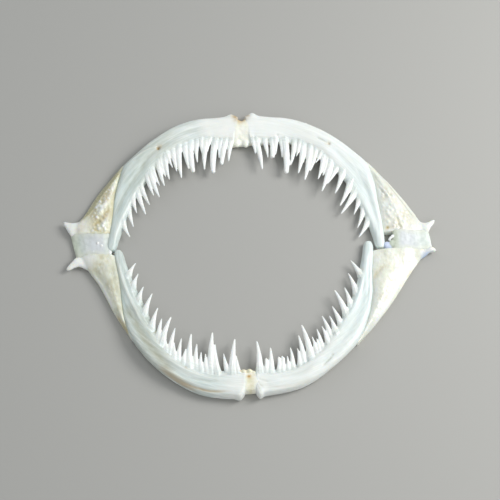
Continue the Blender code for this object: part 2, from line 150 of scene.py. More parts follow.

# Each half jaw in plan. Pairs are (degrees from straight ahead, mm from the ring's centre), and
# a hook's are the (x, y) of its two edge lines, from the plate out to the tip. A tooth is
# (angle, size, degrees of lean, style). A line is (height, half width, tint, strength, its
# (angle, share) points) and a spot (height, size, tint, strength, angle, share).
# In each half, white lays paleness over the bone that is mostly painted light, strongest on the
# right-hand halves that the light falls on most, dull lays painted shade over the dim left-hand halves,
# and blue tints the rear bluish. Lines and spots of shade or cool tint that sink are painted shade in
# grooves and pits, cool lines along the limbs are painted shade on their flanks, and white lines on
# raised ridges are painted highlights.
HALVES = {
    "upper_left": {
        "up": 1, "side": -1, "front": 4.0, "skew": 3.4, "tip": 90.6, "end": (83.8, 85.2),
        "outer": ((4, 66.6), (5.4, 67.6), (6.6, 68.5), (7.2, 68.4), (8.6, 67.8), (11, 67.6), (20, 69.2),
                  (28, 69.4), (36, 68.7), (48, 68.3), (54, 68.9), (60, 69.9), (68, 71.2), (76, 72.8),
                  (80, 74.7), (85, 76.2)),
        "limb": ((48, 71.8), (53, 69.0), (58, 66.6), (67, 63.4), (77, 60.6), (92, 60.3)),
        "inner": ((4, 52.2), (12, 53.9), (22, 56.8), (36, 57.7), (50, 55.9), (65, 54.8), (80, 55.0),
                  (92, 56.8)),
        "split": 52.4, "white": 0.18, "blue": 0.42, "dull": 0.24,
        "joint": (59.4, 76.4),
        "hook": (((-69.4, 16.2), (-70.5, 7.0)), ((-72.4, 14.3), (-73.9, 6.5)),
                 ((-74.7, 13.4), (-75.8, 6.5)), ((-76.7, 13.2), (-77.0, 7.9)),
                 ((-78.5, 13.5), (-78.6, 10.6)), ((-79.9, 14.0), (-80.1, 13.3))),
        "root": 2.2,
        "teeth": (
            (8, "middle", -6, "sharp"), (10.5, "tall", -8, "blunt"), (12.5, "short", -6, "sharp"),
            (15, "fang", -3, "blunt"), (17.5, "stub", -7, "sharp"), (19, "tusk", -2, "sharp"),
            (21, "small", 4, "sharp"), (23, "middle", 2, "sharp"), (26, "tusk", 6, "blunt"),
            (28.5, "tall", 9, "sharp"), (31.5, "tusk", 6, "sharp"), (34.5, "middle", 11, "sharp"),
            (37.5, "small", 20, "sharp"), (38.5, "tall", 10, "sharp"), (41.5, "short", 17, "sharp"),
            (43, "tall", 15, "sharp"), (47, "short", 23, "sharp"), (48.5, "long", 19, "sharp"),
            (50.5, "middle", 17, "sharp"), (56, "middle", 23, "sharp"), (59, "tall", 19, "sharp"),
            (63.5, "small", 15, "sharp"), (68.5, "short", 15, "sharp"), (76.5, "small", 25, "broad"),
        ),
        "shelf": (0.9, ((5, 0.79), (10, 0.81), (16, 0.82), (21, 0.80), (26, 0.83), (30, 0.88),
                        (36, 0.90), (42, 0.93))),
        "lines": (
            (0.0, 14.0, "pearl", 0.95, ((-8, 0.5), (24, 0.5))),
            (-0.40, 1.6, "shade", 0.10, ((8, 0.46), (15, 0.47), (22, 0.48), (27, 0.48), (33, 0.52),
                                         (40, 0.51))),
            (-0.75, 1.7, "shade", 0.36, ((32, 0.52), (40, 0.52), (44, 0.50), (48, 0.54), (52, 0.64),
                                         (56, 0.61), (60, 0.54), (64, 0.46), (68, 0.38),
                                         (72, 0.26), (78, 0.12))),
            (0.28, 0.4, "pearl", 0.55, ((34, 0.46), (39, 0.44), (43, 0.25), (48, 0.15), (54, 0.10))),
            (-0.12, 0.5, "shade", 0.15, ((36, 0.34), (42, 0.16), (50, 0.05))),
            (0.55, 1.3, "pearl", 0.45, ((48, 0.93), (56, 0.94), (61, 0.88), (66, 0.91), (71, 0.87),
                                        (77, 0.74), (84, 0.66), (90, 0.58))),
            (0.25, 1.3, "cool", 0.35, ((46, 0.14), (52, 0.20), (58, 0.20), (64, 0.14),
                                       (69, 0.06))),
            (0.20, 1.2, "cool", 0.40, ((68, 0.62), (75, 0.50), (82, 0.42), (89, 0.40))),
        ),
        "spots": (
            (-1.2, 0.70, "stain", 0.8, 39.2, 0.50), (0.0, 1.3, "stain", 0.25, 38.2, 0.50),
            (0.0, 0.9, "stain", 0.25, 9.0, 0.86), (0.15, 2.0, "pearl", 0.6, 7.0, 0.10),
            (0.0, 1.6, "stain", 0.80, 5.0, 0.06), (0.0, 1.6, "stain", 0.50, 4.2, 0.16),
        ),
    },
    "upper_right": {
        "up": 1, "side": 1, "front": -1.8, "skew": 2.4, "tip": 89.2, "end": (82.2, 83.7),
        "outer": ((-2, 66.6), (-0.4, 67.8), (1.0, 68.8), (1.6, 68.6), (3.0, 67.6), (5.5, 67.2),
                  (17, 68.2), (30, 67.4), (40, 66.8), (46, 66.8), (50, 67.3), (56, 68.6), (62, 69.9),
                  (68, 71.2), (76, 73.8), (83, 77.2)),
        "limb": ((45, 69.4), (50, 67.3), (57, 64.8), (67, 60.9), (77, 59.0), (92, 57.8)),
        "inner": ((-2, 52.6), (8, 53.3), (20, 56.1), (30, 56.0), (42, 53.9), (52, 53.6), (64, 52.2),
                  (78, 52.8), (92, 54.5)),
        "split": 49.4, "white": 0.75, "blue": 0.30, "dull": 0.0,
        "joint": (61.4, 77.0),
        "hook": (((70.8, 16.6), (72.1, 8.6)), ((73.5, 14.2), (75.0, 8.2)),
                 ((75.8, 13.4), (76.9, 8.2)), ((77.7, 14.0), (77.9, 10.5)),
                 ((79.0, 14.6), (79.2, 12.4)), ((80.0, 14.9), (80.2, 14.2))),
        "root": 2.4,
        "teeth": (
            (1.5, "small", -10, "sharp"), (3, "tusk", -11, "sharp"), (7, "short", -10, "sharp"),
            (10.5, "short", -1, "stout"), (12, "small", -1, "sharp"), (14.5, "short", -2, "sharp"),
            (16, "fang", -2, "blunt"), (20.5, "tall", 9, "sharp"), (23, "small", 13, "sharp"),
            (24.5, "tusk", 9, "sharp"), (25.5, "short", 6, "sharp"), (28, "fang", 9, "sharp"),
            (31, "middle", 14, "sharp"), (34, "stub", 26, "sharp"), (35.5, "tall", 13, "sharp"),
            (37.5, "short", 13, "sharp"), (40, "tusk", 16, "sharp"), (44, "short", 28, "sharp"),
            (47.5, "middle", 19, "broad"), (53.5, "tall", 23, "broad"), (58.5, "tall", 31, "broad"),
            (63, "small", 19, "sharp"), (68, "short", 17, "sharp"), (74.5, "short", 29, "broad"),
        ),
        "shelf": (0.4, ((-1, 0.80), (8, 0.80), (14, 0.82), (20, 0.81), (26, 0.85), (32, 0.90))),
        "lines": (
            (-0.20, 1.5, "shade", 0.04, ((4, 0.50), (14, 0.48), (24, 0.48), (31, 0.48))),
            (-0.45, 0.40, "shade", 0.35, ((28, 0.48), (31, 0.48), (34.4, 0.46))),
            (-0.40, 1.6, "cool", 0.40, ((33, 0.50), (37, 0.51), (42, 0.55), (48, 0.63), (53, 0.60),
                                        (58, 0.57), (62, 0.48), (72, 0.42), (82, 0.42))),
            (-0.12, 0.7, "cool", 0.30, ((46, 0.42), (51, 0.46), (55, 0.49), (60, 0.46),
                                        (67, 0.36))),
            (0.45, 1.3, "pearl", 0.35, ((46, 0.90), (54, 0.92), (62, 0.86), (70, 0.80), (78, 0.72),
                                        (88, 0.60))),
            (0.40, 1.3, "cool", 0.35, ((50, 0.20), (58, 0.26), (66, 0.24), (76, 0.26),
                                       (88, 0.34))),
        ),
        "spots": (
            (-0.7, 0.65, "stain", 0.50, 34.6, 0.45), (0.0, 1.0, "shade", 0.25, 34.0, 0.46),
            (-0.6, 0.50, "shade", 0.4, 8.8, 0.92), (-0.3, 0.5, "shade", 0.2, 12.6, 0.77),
            (-0.6, 0.8, "shade", 0.5, 14.0, 0.98), (-0.3, 0.5, "shade", 0.3, 21.9, 0.86),
            (0.15, 2.0, "pearl", 0.6, 1.6, 0.10), (0.3, 0.6, "pearl", 0.4, 22.0, 0.02),
            (0.0, 1.1, "stain", 0.50, -0.8, 0.08), (0.0, 1.4, "stain", 0.30, -1.7, 0.16),
        ),
    },
    "lower_left": {
        "up": -1, "side": -1, "front": 1.2, "skew": 0.0, "tip": 89.8, "end": (87.2, 88.0),
        "outer": ((1, 65.8), (2.6, 68.4), (5, 68.3), (16, 69.0), (30, 67.4), (38, 66.1), (45, 64.7),
                  (52, 63.6), (60, 63.4), (75, 65.1), (82, 68.7), (88, 72.0)),
        "limb": ((44, 66.3), (49, 64.5), (59, 60.8), (70, 57.4), (80, 56.5), (90, 57.6)),
        "inner": ((1, 56.0), (10, 57.0), (25, 58.2), (34, 57.2), (47, 53.4), (58, 50.9), (70, 50.7),
                  (80, 51.8), (90, 53.6)),
        "split": 48.4, "white": 0.10, "blue": 0.26, "dull": 0.28,
        "joint": (58.2, 73.2),
        "hook": (((-67.4, -10.6), (-69.1, -3.6)), ((-69.7, -8.9), (-71.9, -3.2)),
                 ((-71.9, -8.1), (-73.7, -3.8)), ((-73.7, -8.7), (-75.1, -5.8)),
                 ((-75.5, -9.6), (-76.5, -7.8)), ((-77.0, -10.3), (-77.6, -9.6))),
        "root": 3.6,
        "teeth": (
            (4, "small", -7, "sharp"), (6.5, "tusk", 3, "broad"), (8.2, "short", -12, "sharp"),
            (12.5, "tall", -5, "broad"), (15, "fang", 1, "sharp"), (16.8, "small", -4, "sharp"),
            (19, "small", -1, "sharp"), (21, "middle", 0, "sharp"), (24, "long", 2, "broad"),
            (26.5, "stub", 6, "sharp"), (29, "short", 6, "sharp"), (31, "stub", -1, "sharp"),
            (33.5, "middle", 10, "sharp"), (35.5, "stub", -4, "sharp"), (38.5, "tall", 16, "broad"),
            (41, "short", 7, "sharp"), (47, "short", 14, "broad"), (55, "short", 18, "broad"),
            (62.5, "stub", 17, "broad"), (70, "stub", 18, "broad"), (76.5, "stub", 26, "broad"),
        ),
        "shelf": (0.5, ((2, 0.84), (8, 0.73), (13, 0.66), (18, 0.66), (23, 0.68), (28, 0.68),
                        (34, 0.72), (42, 0.70), (52, 0.74), (60, 0.68), (68, 0.64), (76, 0.70))),
        "lines": (
            (-0.30, 0.45, "stain", 0.52, ((5, 0.17), (8, 0.15), (14, 0.11), (18, 0.10), (23, 0.08),
                                          (27, 0.06), (31, 0.07), (36, 0.14))),
            (0.25, 0.9, "cool", 0.30, ((6, 0.40), (10, 0.38), (14, 0.34), (20, 0.25), (25, 0.17),
                                       (31, 0.16), (38, 0.24))),
            (-0.35, 0.6, "shade", 0.12, ((7, 0.50), (14, 0.45), (20, 0.36), (26, 0.26),
                                         (31, 0.28))),
            (-0.45, 2.10, "shade", 0.60, ((25, 0.22), (30, 0.27), (36, 0.37), (44, 0.38), (49, 0.41),
                                          (54, 0.37), (60, 0.24), (66, 0.14))),
            (0.0, 1.4, "stain", 0.42, ((16, 0.04), (24, 0.05), (35, 0.07))),
            (0.50, 0.7, "pearl", 0.50, ((48, 0.66), (54, 0.58), (58, 0.54), (66, 0.43), (74, 0.27),
                                        (82, 0.22), (88, 0.28))),
            (-0.30, 0.9, "cool", 0.55, ((50, 0.36), (54, 0.31), (61, 0.18), (67, 0.09),
                                        (74, 0.03))),
            (-0.35, 0.8, "shade", 0.20, ((62, 0.60), (68, 0.56), (74, 0.50), (82, 0.52))),
            (0.30, 1.0, "pearl", 0.25, ((8, 0.62), (14, 0.56), (20, 0.56), (28, 0.58),
                                        (38, 0.62))),
        ),
        "spots": (
            (-0.2, 0.8, "stain", 0.40, 24.6, 0.72), (0.15, 2.4, "pearl", 0.9, 3.0, 0.06),
            (0.0, 2.2, "pearl", 0.5, 5.0, 0.24), (-0.4, 0.7, "stain", 0.35, 36.0, 0.93),
            (-0.3, 0.7, "stain", 0.30, 44.0, 0.92), (-0.3, 0.7, "shade", 0.35, 51.0, 0.90),
            (-0.3, 0.9, "shade", 0.35, 59.0, 0.86), (0.0, 0.9, "stain", 0.2, 47.0, 0.99),
        ),
    },
    "lower_right": {
        "up": -1, "side": 1, "front": 2.4, "skew": 0.8, "tip": 94.6, "end": (89.6, 91.2),
        "outer": ((2.2, 65.2), (3.7, 67.9), (5.6, 67.1), (9, 66.9), (20, 66.6), (33, 64.3),
                  (45, 62.8), (58, 63.2), (70, 65.4), (80, 68.8), (86, 72.6), (91, 77.8)),
        "limb": ((41, 64.2), (46, 62.7), (58, 59.0), (68, 56.2), (78, 53.6), (95, 52.9)),
        "inner": ((2, 55.8), (12, 56.6), (20, 57.0), (32, 55.0), (42, 52.0), (52, 50.2), (65, 48.4),
                  (80, 47.7), (95, 48.9)),
        "split": 45.2, "white": 0.62, "blue": 0.50, "dull": 0.04,
        "joint": (61.4, 78.4),
        "hook": (((71.8, -4.9), (73.4, 1.3)), ((74.9, -3.2), (76.4, 1.6)),
                 ((76.7, -1.4), (77.9, 1.7)), ((78.1, -0.9), (78.8, 1.2)),
                 ((79.2, -0.9), (79.6, 0.4)), ((80.0, -0.7), (80.2, -0.2))),
        "root": 3.0,
        "teeth": (
            (4.5, "long", 5, "broad"), (7, "stub", -2, "broken"), (9, "middle", 1, "broad"),
            (12.2, "stub", -1, "broken"), (13.8, "stub", -1, "broken"), (16, "stub", 3, "sharp"),
            (18, "short", 6, "sharp"), (21, "small", 7, "sharp"), (23, "tall", 10, "sharp"),
            (26.5, "tusk", 14, "broad"), (29.5, "small", 14, "sharp"), (31, "stub", 12, "sharp"),
            (32.5, "short", 13, "sharp"), (36, "small", 17, "sharp"), (38.5, "middle", 19, "sharp"),
            (42, "small", 18, "broad"), (46.5, "short", 22, "broad"), (52, "tall", 22, "broad"),
            (57, "short", 15, "broad"), (65.5, "short", 19, "broad"), (75.5, "small", 30, "broad"),
        ),
        "shelf": (0.4, ((3, 0.80), (10, 0.69), (15, 0.72), (20, 0.74), (26, 0.77), (31, 0.83),
                        (38, 0.88), (46, 0.90))),
        "lines": (
            (-0.15, 0.6, "stain", 0.12, ((4, 0.32), (7, 0.24), (13, 0.13), (17, 0.10), (21, 0.08),
                                         (26, 0.10))),
            (-0.20, 0.30, "shade", 0.30, ((2.4, 0.38), (3.2, 0.28), (4.2, 0.12))),
            (-0.20, 0.30, "shade", 0.30, ((2.4, 0.52), (3.6, 0.40), (5.6, 0.20))),
            (-0.18, 0.32, "shade", 0.22, ((2.4, 0.66), (4.4, 0.54), (7.6, 0.38))),
            (0.20, 1.3, "pearl", 0.60, ((3, 0.52), (9, 0.46), (15, 0.36), (20, 0.33), (26, 0.36),
                                        (30, 0.40))),
            (-0.20, 0.8, "shade", 0.08, ((8, 0.62), (15, 0.55), (22, 0.55), (28, 0.60))),
            (-0.28, 0.42, "shade", 0.45, ((28, 0.26), (30, 0.27), (32, 0.28), (34.5, 0.34))),
            (-0.50, 2.2, "cool", 0.45, ((24, 0.36), (38, 0.45), (46, 0.50), (54, 0.48), (62, 0.44),
                                        (72, 0.40))),
            (0.40, 1.0, "pearl", 0.35, ((40, 0.82), (50, 0.84), (60, 0.78), (70, 0.72),
                                        (80, 0.62), (92, 0.50))),
            (-0.15, 0.5, "cool", 0.30, ((58, 0.22), (70, 0.30), (80, 0.36), (90, 0.42))),
            (-0.15, 0.5, "cool", 0.30, ((60, 0.58), (70, 0.60), (80, 0.62), (90, 0.60))),
        ),
        "spots": (
            (-0.15, 0.6, "shade", 0.4, 34.3, 0.34), (0.15, 2.2, "pearl", 0.9, 4.4, 0.12),
            (-0.3, 0.6, "stain", 0.45, 60.5, 0.95), (-0.3, 0.6, "stain", 0.30, 68.5, 0.95),
            (0.0, 1.1, "stain", 0.30, 78.0, 0.93),
        ),
    },
}

# Each articular: where its thin margin starts, the height of its nodules, and how strong the
# amber in the hollows (tint), the horn of the margin (edge), the paleness (white), which is mostly
# painted light on the plates that the light falls on most, the olive clouds and the bluish tone
# under the hook, which is painted shade on that side of its root together with glassy bone, are.
# Lines and spots are as above: white lines on ridges are painted highlights and shade lines that
# sink are painted shade.
PLATES = {
    "upper_left": {
        "margin": ((52, 0.10), (58, 0.30), (63, 0.50), (70, 0.70), (76, 0.80), (80, 0.92)),
        "nodules": 0.70, "tint": 0.55, "edge": 1.0, "white": 0.0, "olive": 0.12, "hook": 0.0,
        "lines": (
            (-0.5, 1.4, "stain", 0.60, ((70, 0.14), (76, 0.26), (79, 0.37), (81, 0.48),
                                        (84, 0.58))),
            (-0.3, 0.9, "stain", 0.35, ((60, 0.10), (68, 0.08), (76, 0.06), (84, 0.06))),
            (0.5, 1.0, "pearl", 0.85, ((60, 0.24), (64, 0.28), (69, 0.36), (74, 0.46),
                                       (78, 0.60))),
            (0.4, 0.9, "pearl", 0.70, ((72, 0.18), (77, 0.20), (83, 0.24))),
        ),
        "spots": ((1.5, 5.2, "pearl", 0.9, 81.5, 0.96), (-0.1, 2.0, "stain", 0.55, 80.4, 0.50),
                  (-0.2, 0.9, "stain", 0.5, 82.6, 0.06)),
    },
    "upper_right": {
        "margin": ((52, 0.30), (58, 0.45), (63, 0.60), (70, 0.76), (76, 0.84), (80, 0.93)),
        "nodules": 0.50, "tint": 0.30, "edge": 0.10, "white": 0.50, "olive": 0.0, "hook": 0.0,
        "lines": (
            (-0.4, 0.6, "shade", 0.30, ((53, 0.20), (57, 0.22), (62, 0.42), (66, 0.58),
                                        (70, 0.60))),
            (-0.3, 0.5, "shade", 0.25, ((57, 0.10), (62, 0.22), (68, 0.40))),
            (0.5, 0.9, "pearl", 0.60, ((60, 0.34), (66, 0.46), (72, 0.50), (78, 0.56))),
            (-0.4, 0.7, "stain", 0.40, ((76, 0.42), (79, 0.40), (83, 0.38))),
            (-0.20, 0.30, "shade", 0.45, ((58, 0.80), (66, 0.85), (72, 0.87), (78, 0.89),
                                          (82.5, 0.90))),
            (0.0, 2.6, "cool", 0.08, ((52, 0.40), (60, 0.30), (68, 0.16), (80, 0.10))),
        ),
        "spots": ((-0.3, 0.80, "stain", 0.9, 80.4, 0.11), (0.8, 4.0, "pearl", 0.9, 80.5, 0.96),
                  (-0.2, 0.8, "stain", 0.4, 79.8, 0.40)),
    },
    "lower_left": {
        "margin": ((49, 0.80), (60, 0.84), (70, 0.90), (80, 0.97)),
        "nodules": 0.18, "tint": 0.24, "edge": 0.0, "white": 0.28, "olive": 0.26, "hook": 0.0,
        "lines": (
            (-0.3, 1.5, "shade", 0.40, ((60, 0.10), (65, 0.14), (69, 0.18), (75, 0.20), (82, 0.13),
                                        (86, 0.10))),
            (0.35, 0.7, "pearl", 0.80, ((60, 0.88), (68, 0.90), (76, 0.93), (84, 0.94))),
            (-0.1, 0.7, "stain", 0.60, ((50, 0.80), (56, 0.88), (62, 0.97))),
        ),
        "spots": ((-0.1, 1.4, "stain", 0.35, 85.6, 0.40), (-0.1, 1.2, "stain", 0.25, 83.8, 0.30),
                  (1.5, 5.4, "pearl", 0.9, 85.0, 0.96), (0.3, 0.6, "pearl", 0.9, 87.0, 0.12)),
    },
    "lower_right": {
        "margin": ((47, 0.70), (58, 0.86), (70, 0.90), (80, 0.95)),
        "nodules": 0.16, "tint": 0.15, "edge": 0.0, "white": 0.38, "olive": 0.0, "hook": 1.0,
        "lines": (
            (-0.4, 1.1, "stain", 0.32, ((73.5, 0.05), (76, 0.10), (79, 0.18), (82.5, 0.30))),
            (-0.1, 0.8, "stain", 0.20, ((64, 0.35), (70, 0.50), (76, 0.66), (80, 0.74))),
            (0.5, 0.9, "pearl", 0.80, ((52, 0.88), (62, 0.88), (72, 0.88), (80, 0.90))),
            (0.0, 3.2, "cool", 0.14, ((46, 0.30), (58, 0.30), (68, 0.14), (76, 0.06))),
            (-0.15, 0.7, "stain", 0.50, ((78.5, 0.99), (81, 0.99), (83.6, 0.97))),
        ),
        "spots": ((0.3, 2.2, "pearl", 0.6, 88.0, 0.30), (0.3, 3.0, "pearl", 0.6, 88.5, 0.62),
                  (0.9, 3.5, "pearl", 0.6, 88.8, 0.95),
                  (0.2, 2.0, "pearl", 0.7, 84.0, 0.10)),
    },
}

# Height of a hook's middle and half its thickness, from the plate out to the tip
HOOK_RINGS = ((1.2, 0.9), (1.7, 1.3), (2.0, 1.4), (2.15, 1.15), (2.2, 0.75), (2.2, 0.28))

# Round a hook's root and a tooth's base the joined surface is evened out this many times
HOOK_BLEND = 24
HOOK_BLEND_REACH = 4.6
TOOTH_BLEND = 4

# The cartilage bulges outwards and sags by this much in mid span
JOINT_BULGE = 0.1
JOINT_SAG = 0.9
JOINT_CURVE = (
    (0.00, 0.15), (0.00, 0.74), (0.03, 0.94), (0.12, 1.00), (0.40, 1.00), (0.70, 1.00),
    (0.90, 0.92), (0.98, 0.66), (1.00, 0.34), (0.96, 0.06), (0.60, 0.00), (0.10, 0.00),
)
JOINT_TOP = (1, 8)

# Lumps on the cartilage: (x, y, z, half size in x, y and z, tint, strength)
JOINT_KNOBS = {
    "left": ((-58.9, -1.7, 3.2, 0.9, 0.9, 0.8, "pearl", 1.0),
             (-64.4, 2.6, 3.7, 0.40, 0.5, 0.65, "pearl", 0.9),
             (-65.8, -1.8, 3.7, 0.45, 0.6, 0.65, "pearl", 0.9),
             (-62.6, 1.4, 3.7, 0.40, 0.5, 0.65, "pearl", 0.8)),
    "right": ((59.0, 2.2, 2.1, 1.6, 1.9, 1.3, "knob", 1.0),
              (60.2, 1.5, 2.0, 1.9, 1.6, 1.3, "knob", 0.8),
              (61.4, 2.6, 2.4, 1.7, 2.2, 1.3, "shade", 0.6),
              (59.9, 4.7, 2.9, 0.55, 0.5, 0.4, "pearl", 0.9),
              (60.5, 5.4, 3.2, 0.7, 0.6, 0.45, "pearl", 1.0),
              (61.3, 6.1, 3.5, 0.8, 0.6, 0.45, "pearl", 1.0)),
}

LIGAMENT_KNOBS = {
    "upper": ((-5.3, 53.6, 2.6, 1.6, 2.4, 1.5, "pearl", 0.9),
              (-1.3, 53.2, 2.6, 1.5, 2.2, 1.4, "pearl", 0.9),
              (-3.6, 56.6, 3.3, 2.8, 2.6, 1.4, "pearl", 0.8)),
    "lower": ((-3.9, -57.0, 3.6, 1.1, 1.0, 1.3, "stain", 0.35),
              (-2.0, -57.0, 3.7, 1.2, 1.1, 1.3, "shade", 0.3),
              (0.3, -56.8, 3.8, 1.2, 1.1, 1.3, "shade", 0.4),
              (2.0, -57.4, 3.4, 1.0, 1.0, 1.2, "shade", 0.3)),
}
# Colour spots on the ligaments: (x, y, size, tint, strength)
LIGAMENT_SPOTS = {
    "upper": ((-3.5, 64.9, 2.1, "stain", 0.95), (-3.9, 62.9, 1.5, "stain", 0.45),
              (-3.2, 56.5, 6.5, "pearl", 0.9)),
    "lower": ((0.1, -59.6, 0.9, "stain", 0.80), (0.4, -61.6, 1.5, "shade", 0.45),
              (0.9, -64.6, 1.4, "shade", 0.45), (-2.2, -58.4, 0.9, "stain", 0.30)),
}

LIGAMENT_SAG = 0.15
# The outer edge of the upper one dips to a point between the two dentaries by this much
NOTCH = 2.1
# Soft tissue starts no higher than this, and has this many points across a bone's end
TISSUE_CAP = 5.9
TISSUE_POINTS = 25

# A mark fades out within this many of its half widths, and no spot reaches past these degrees
MARK_REACH = 2.6
SPOT_DEGREES = 9.0

# Size of a nodule in mm
NODULE_WIDTH = 1.6
NODULE_LENGTH = 2.1

# Most of a noise texture's values lie between these, and how rough it is
NOISE_LOW = 0.3
NOISE_HIGH = 0.7
NOISE_ROUGHNESS = 0.55


def smooth_value(pairs, at):
    """Value at a position on a smooth curve through (position, value) pairs."""
    if at <= pairs[0][0]:
        return pairs[0][1]
    if at >= pairs[-1][0]:
        return pairs[-1][1]
    index = 0
    while pairs[index + 1][0] < at:
        index += 1
    start, stop = pairs[index], pairs[index + 1]
    width = stop[0] - start[0]
    slope = (stop[1] - start[1]) / width
    before = slope
    after = slope
    if index > 0:
        before = (start[1] - pairs[index - 1][1]) / (start[0] - pairs[index - 1][0])
    if index + 2 < len(pairs):
        after = (pairs[index + 2][1] - stop[1]) / (pairs[index + 2][0] - stop[0])
    t = (at - start[0]) / width
    start_slope = 0.5 * (before + slope) * width
    stop_slope = 0.5 * (slope + after) * width
    return ((2 * t ** 3 - 3 * t ** 2 + 1) * start[1] + (t ** 3 - 2 * t ** 2 + t) * start_slope
            + (3 * t ** 2 - 2 * t ** 3) * stop[1] + (t ** 3 - t ** 2) * stop_slope)


def ease(low, high, at):
    """0 below low, 1 above high, and a smooth rise between them."""
    t = min(1.0, max(0.0, (at - low) / (high - low)))
    return t * t * (3.0 - 2.0 * t)


def curve_point(points, at):
    """Point on the closed smooth curve through points, at a position counted in points."""
    index = math.floor(at)
    t = at - index
    a, b, c, d = (points[(index + k) % len(points)] for k in (-1, 0, 1, 2))
    weights = (-0.5 * t ** 3 + t * t - 0.5 * t, 1.5 * t ** 3 - 2.5 * t * t + 1.0,
               -1.5 * t ** 3 + 2.0 * t * t + 0.5 * t, 0.5 * t ** 3 - 0.5 * t * t)
    return tuple(sum(w * p[k] for w, p in zip(weights, (a, b, c, d))) for k in (0, 1))


def ring_positions(points, top, top_steps, other_steps):
    """Positions round a closed curve, closer together on the part that faces up."""
    first, last = top
    rest = len(points) - last + first
    upper = [first + (last - first) * i / top_steps for i in range(top_steps)]
    return upper + [last + rest * i / other_steps for i in range(other_steps)]


def plan_point(half, angle, radius, height):
    """Point at an angle from the jaw's midline, a radius and a height."""
    turn = math.radians(angle)
    return Vector((half["side"] * radius * math.sin(turn),
                   half["up"] * radius * math.cos(turn), height))


def lift(angle):
    """Height of a dentary's underside above the surface."""
    share = (angle - ARCH_FROM) / (ARCH_TO - ARCH_FROM)
    if share <= 0.0 or share >= 1.0:
        return 0.0
    return ARCH_HEIGHT * math.sin(math.pi * share) ** 2


def dentary_outer(half, angle):
    """Radius of a dentary's outer edge: the jaw's margin, then the line it shares behind."""
    margin = smooth_value(half["outer"], angle)
    if angle < half["limb"][0][0]:
        return margin
    limb = smooth_value(half["limb"], angle)
    near = max(0.0, 1.0 - abs(margin - limb) / EDGE_ROUND)
    return min(margin, limb) - 0.25 * EDGE_ROUND * near * near


def dentary_edges(half, angle):
    """Radii of a dentary's outer and inner edge."""
    return dentary_outer(half, angle), smooth_value(half["inner"], angle)


def line_marks(lines, spots, angle, share, width, place):
    """Height and tints that grooves, ridges, pits and knobs give a point.

    width is the bone's width there in mm, and place turns an angle and a share into a point.
    """
    height = 0.0
    tints = {}
    for rise, half_width, tint, strength, line in lines:
        first, last = line[0][0], line[-1][0]
        if angle < first or angle > last:
            continue
        away = (share - smooth_value(line, angle)) * width / half_width
        if abs(away) > MARK_REACH:
            continue
        reach = min(8.0, 0.3 * (last - first))
        fade = ease(first, first + reach, angle) * ease(-last, reach - last, -angle)
        amount = math.exp(-away * away) * fade
        height += rise * amount
        tints[tint] = max(tints.get(tint, 0.0), strength * amount)
    here = None
    for rise, size, tint, strength, at_angle, at_share in spots:
        if abs(angle - at_angle) > SPOT_DEGREES:
            continue
        if here is None:
            here = place(angle, share)
        away = (here - place(at_angle, at_share)).length / size
        if away > MARK_REACH:
            continue
        amount = math.exp(-away * away)
        height += rise * amount
        tints[tint] = max(tints.get(tint, 0.0), strength * amount)
    return height, tints


def start_shells():
    """Empty mesh that overlapping shells are added to, with a layer for each tint."""
    shells = bmesh.new()
    for tint in TINTS:
        shells.verts.layers.float.new(tint)
    return shells


def add_skin(shells, rows, around, place):
    """Adds a closed skin: a grid wound into a tube, whose first and last rows are points.

    place gives the point and the tints for a row and a step round the tube.
    """
    grid = bmesh.ops.create_grid(shells, x_segments=rows, y_segments=around, size=0.5)["verts"]
    layers = {tint: shells.verts.layers.float[tint] for tint in TINTS}
    for vert in grid:
        row = round((vert.co.x + 0.5) * rows)
        step = round((vert.co.y + 0.5) * around) % around
        point, tints = place(row, step)
        vert.co = point * MM
        for tint, value in tints.items():
            vert[layers[tint]] = value
    bmesh.ops.remove_doubles(shells, verts=grid, dist=0.0005 * MM)


def add_knob(shells, centre, size, tints):
    """Adds a rounded lump of a given half size in x, y and z."""
    ball = bmesh.ops.create_icosphere(shells, subdivisions=3, radius=1.0)["verts"]
    layers = {tint: shells.verts.layers.float[tint] for tint in TINTS}
    for vert in ball:
        vert.co = Vector(vert.co[k] * size[k] + centre[k] for k in range(3)) * MM
        for tint, value in tints.items():
            vert[layers[tint]] = value


def soften(mesh, verts, times):
    """Evens out some of a mesh's points, so that a part grows out of another without a crease."""
    for _ in range(times):
        bmesh.ops.smooth_vert(mesh, verts=verts, factor=0.5, use_axis_x=True, use_axis_y=True,
                              use_axis_z=True)


def soften_tints(mesh, verts, times):
    """Evens out the tints of some of a mesh's points."""
    layers = [mesh.verts.layers.float[tint] for tint in TINTS]
    near = [[edge.other_vert(vert) for edge in vert.link_edges] for vert in verts]
    for _ in range(times):
        for layer in layers:
            values = [sum(other[layer] for other in others) / len(others) for others in near]
            for vert, value in zip(verts, values):
                vert[layer] = value


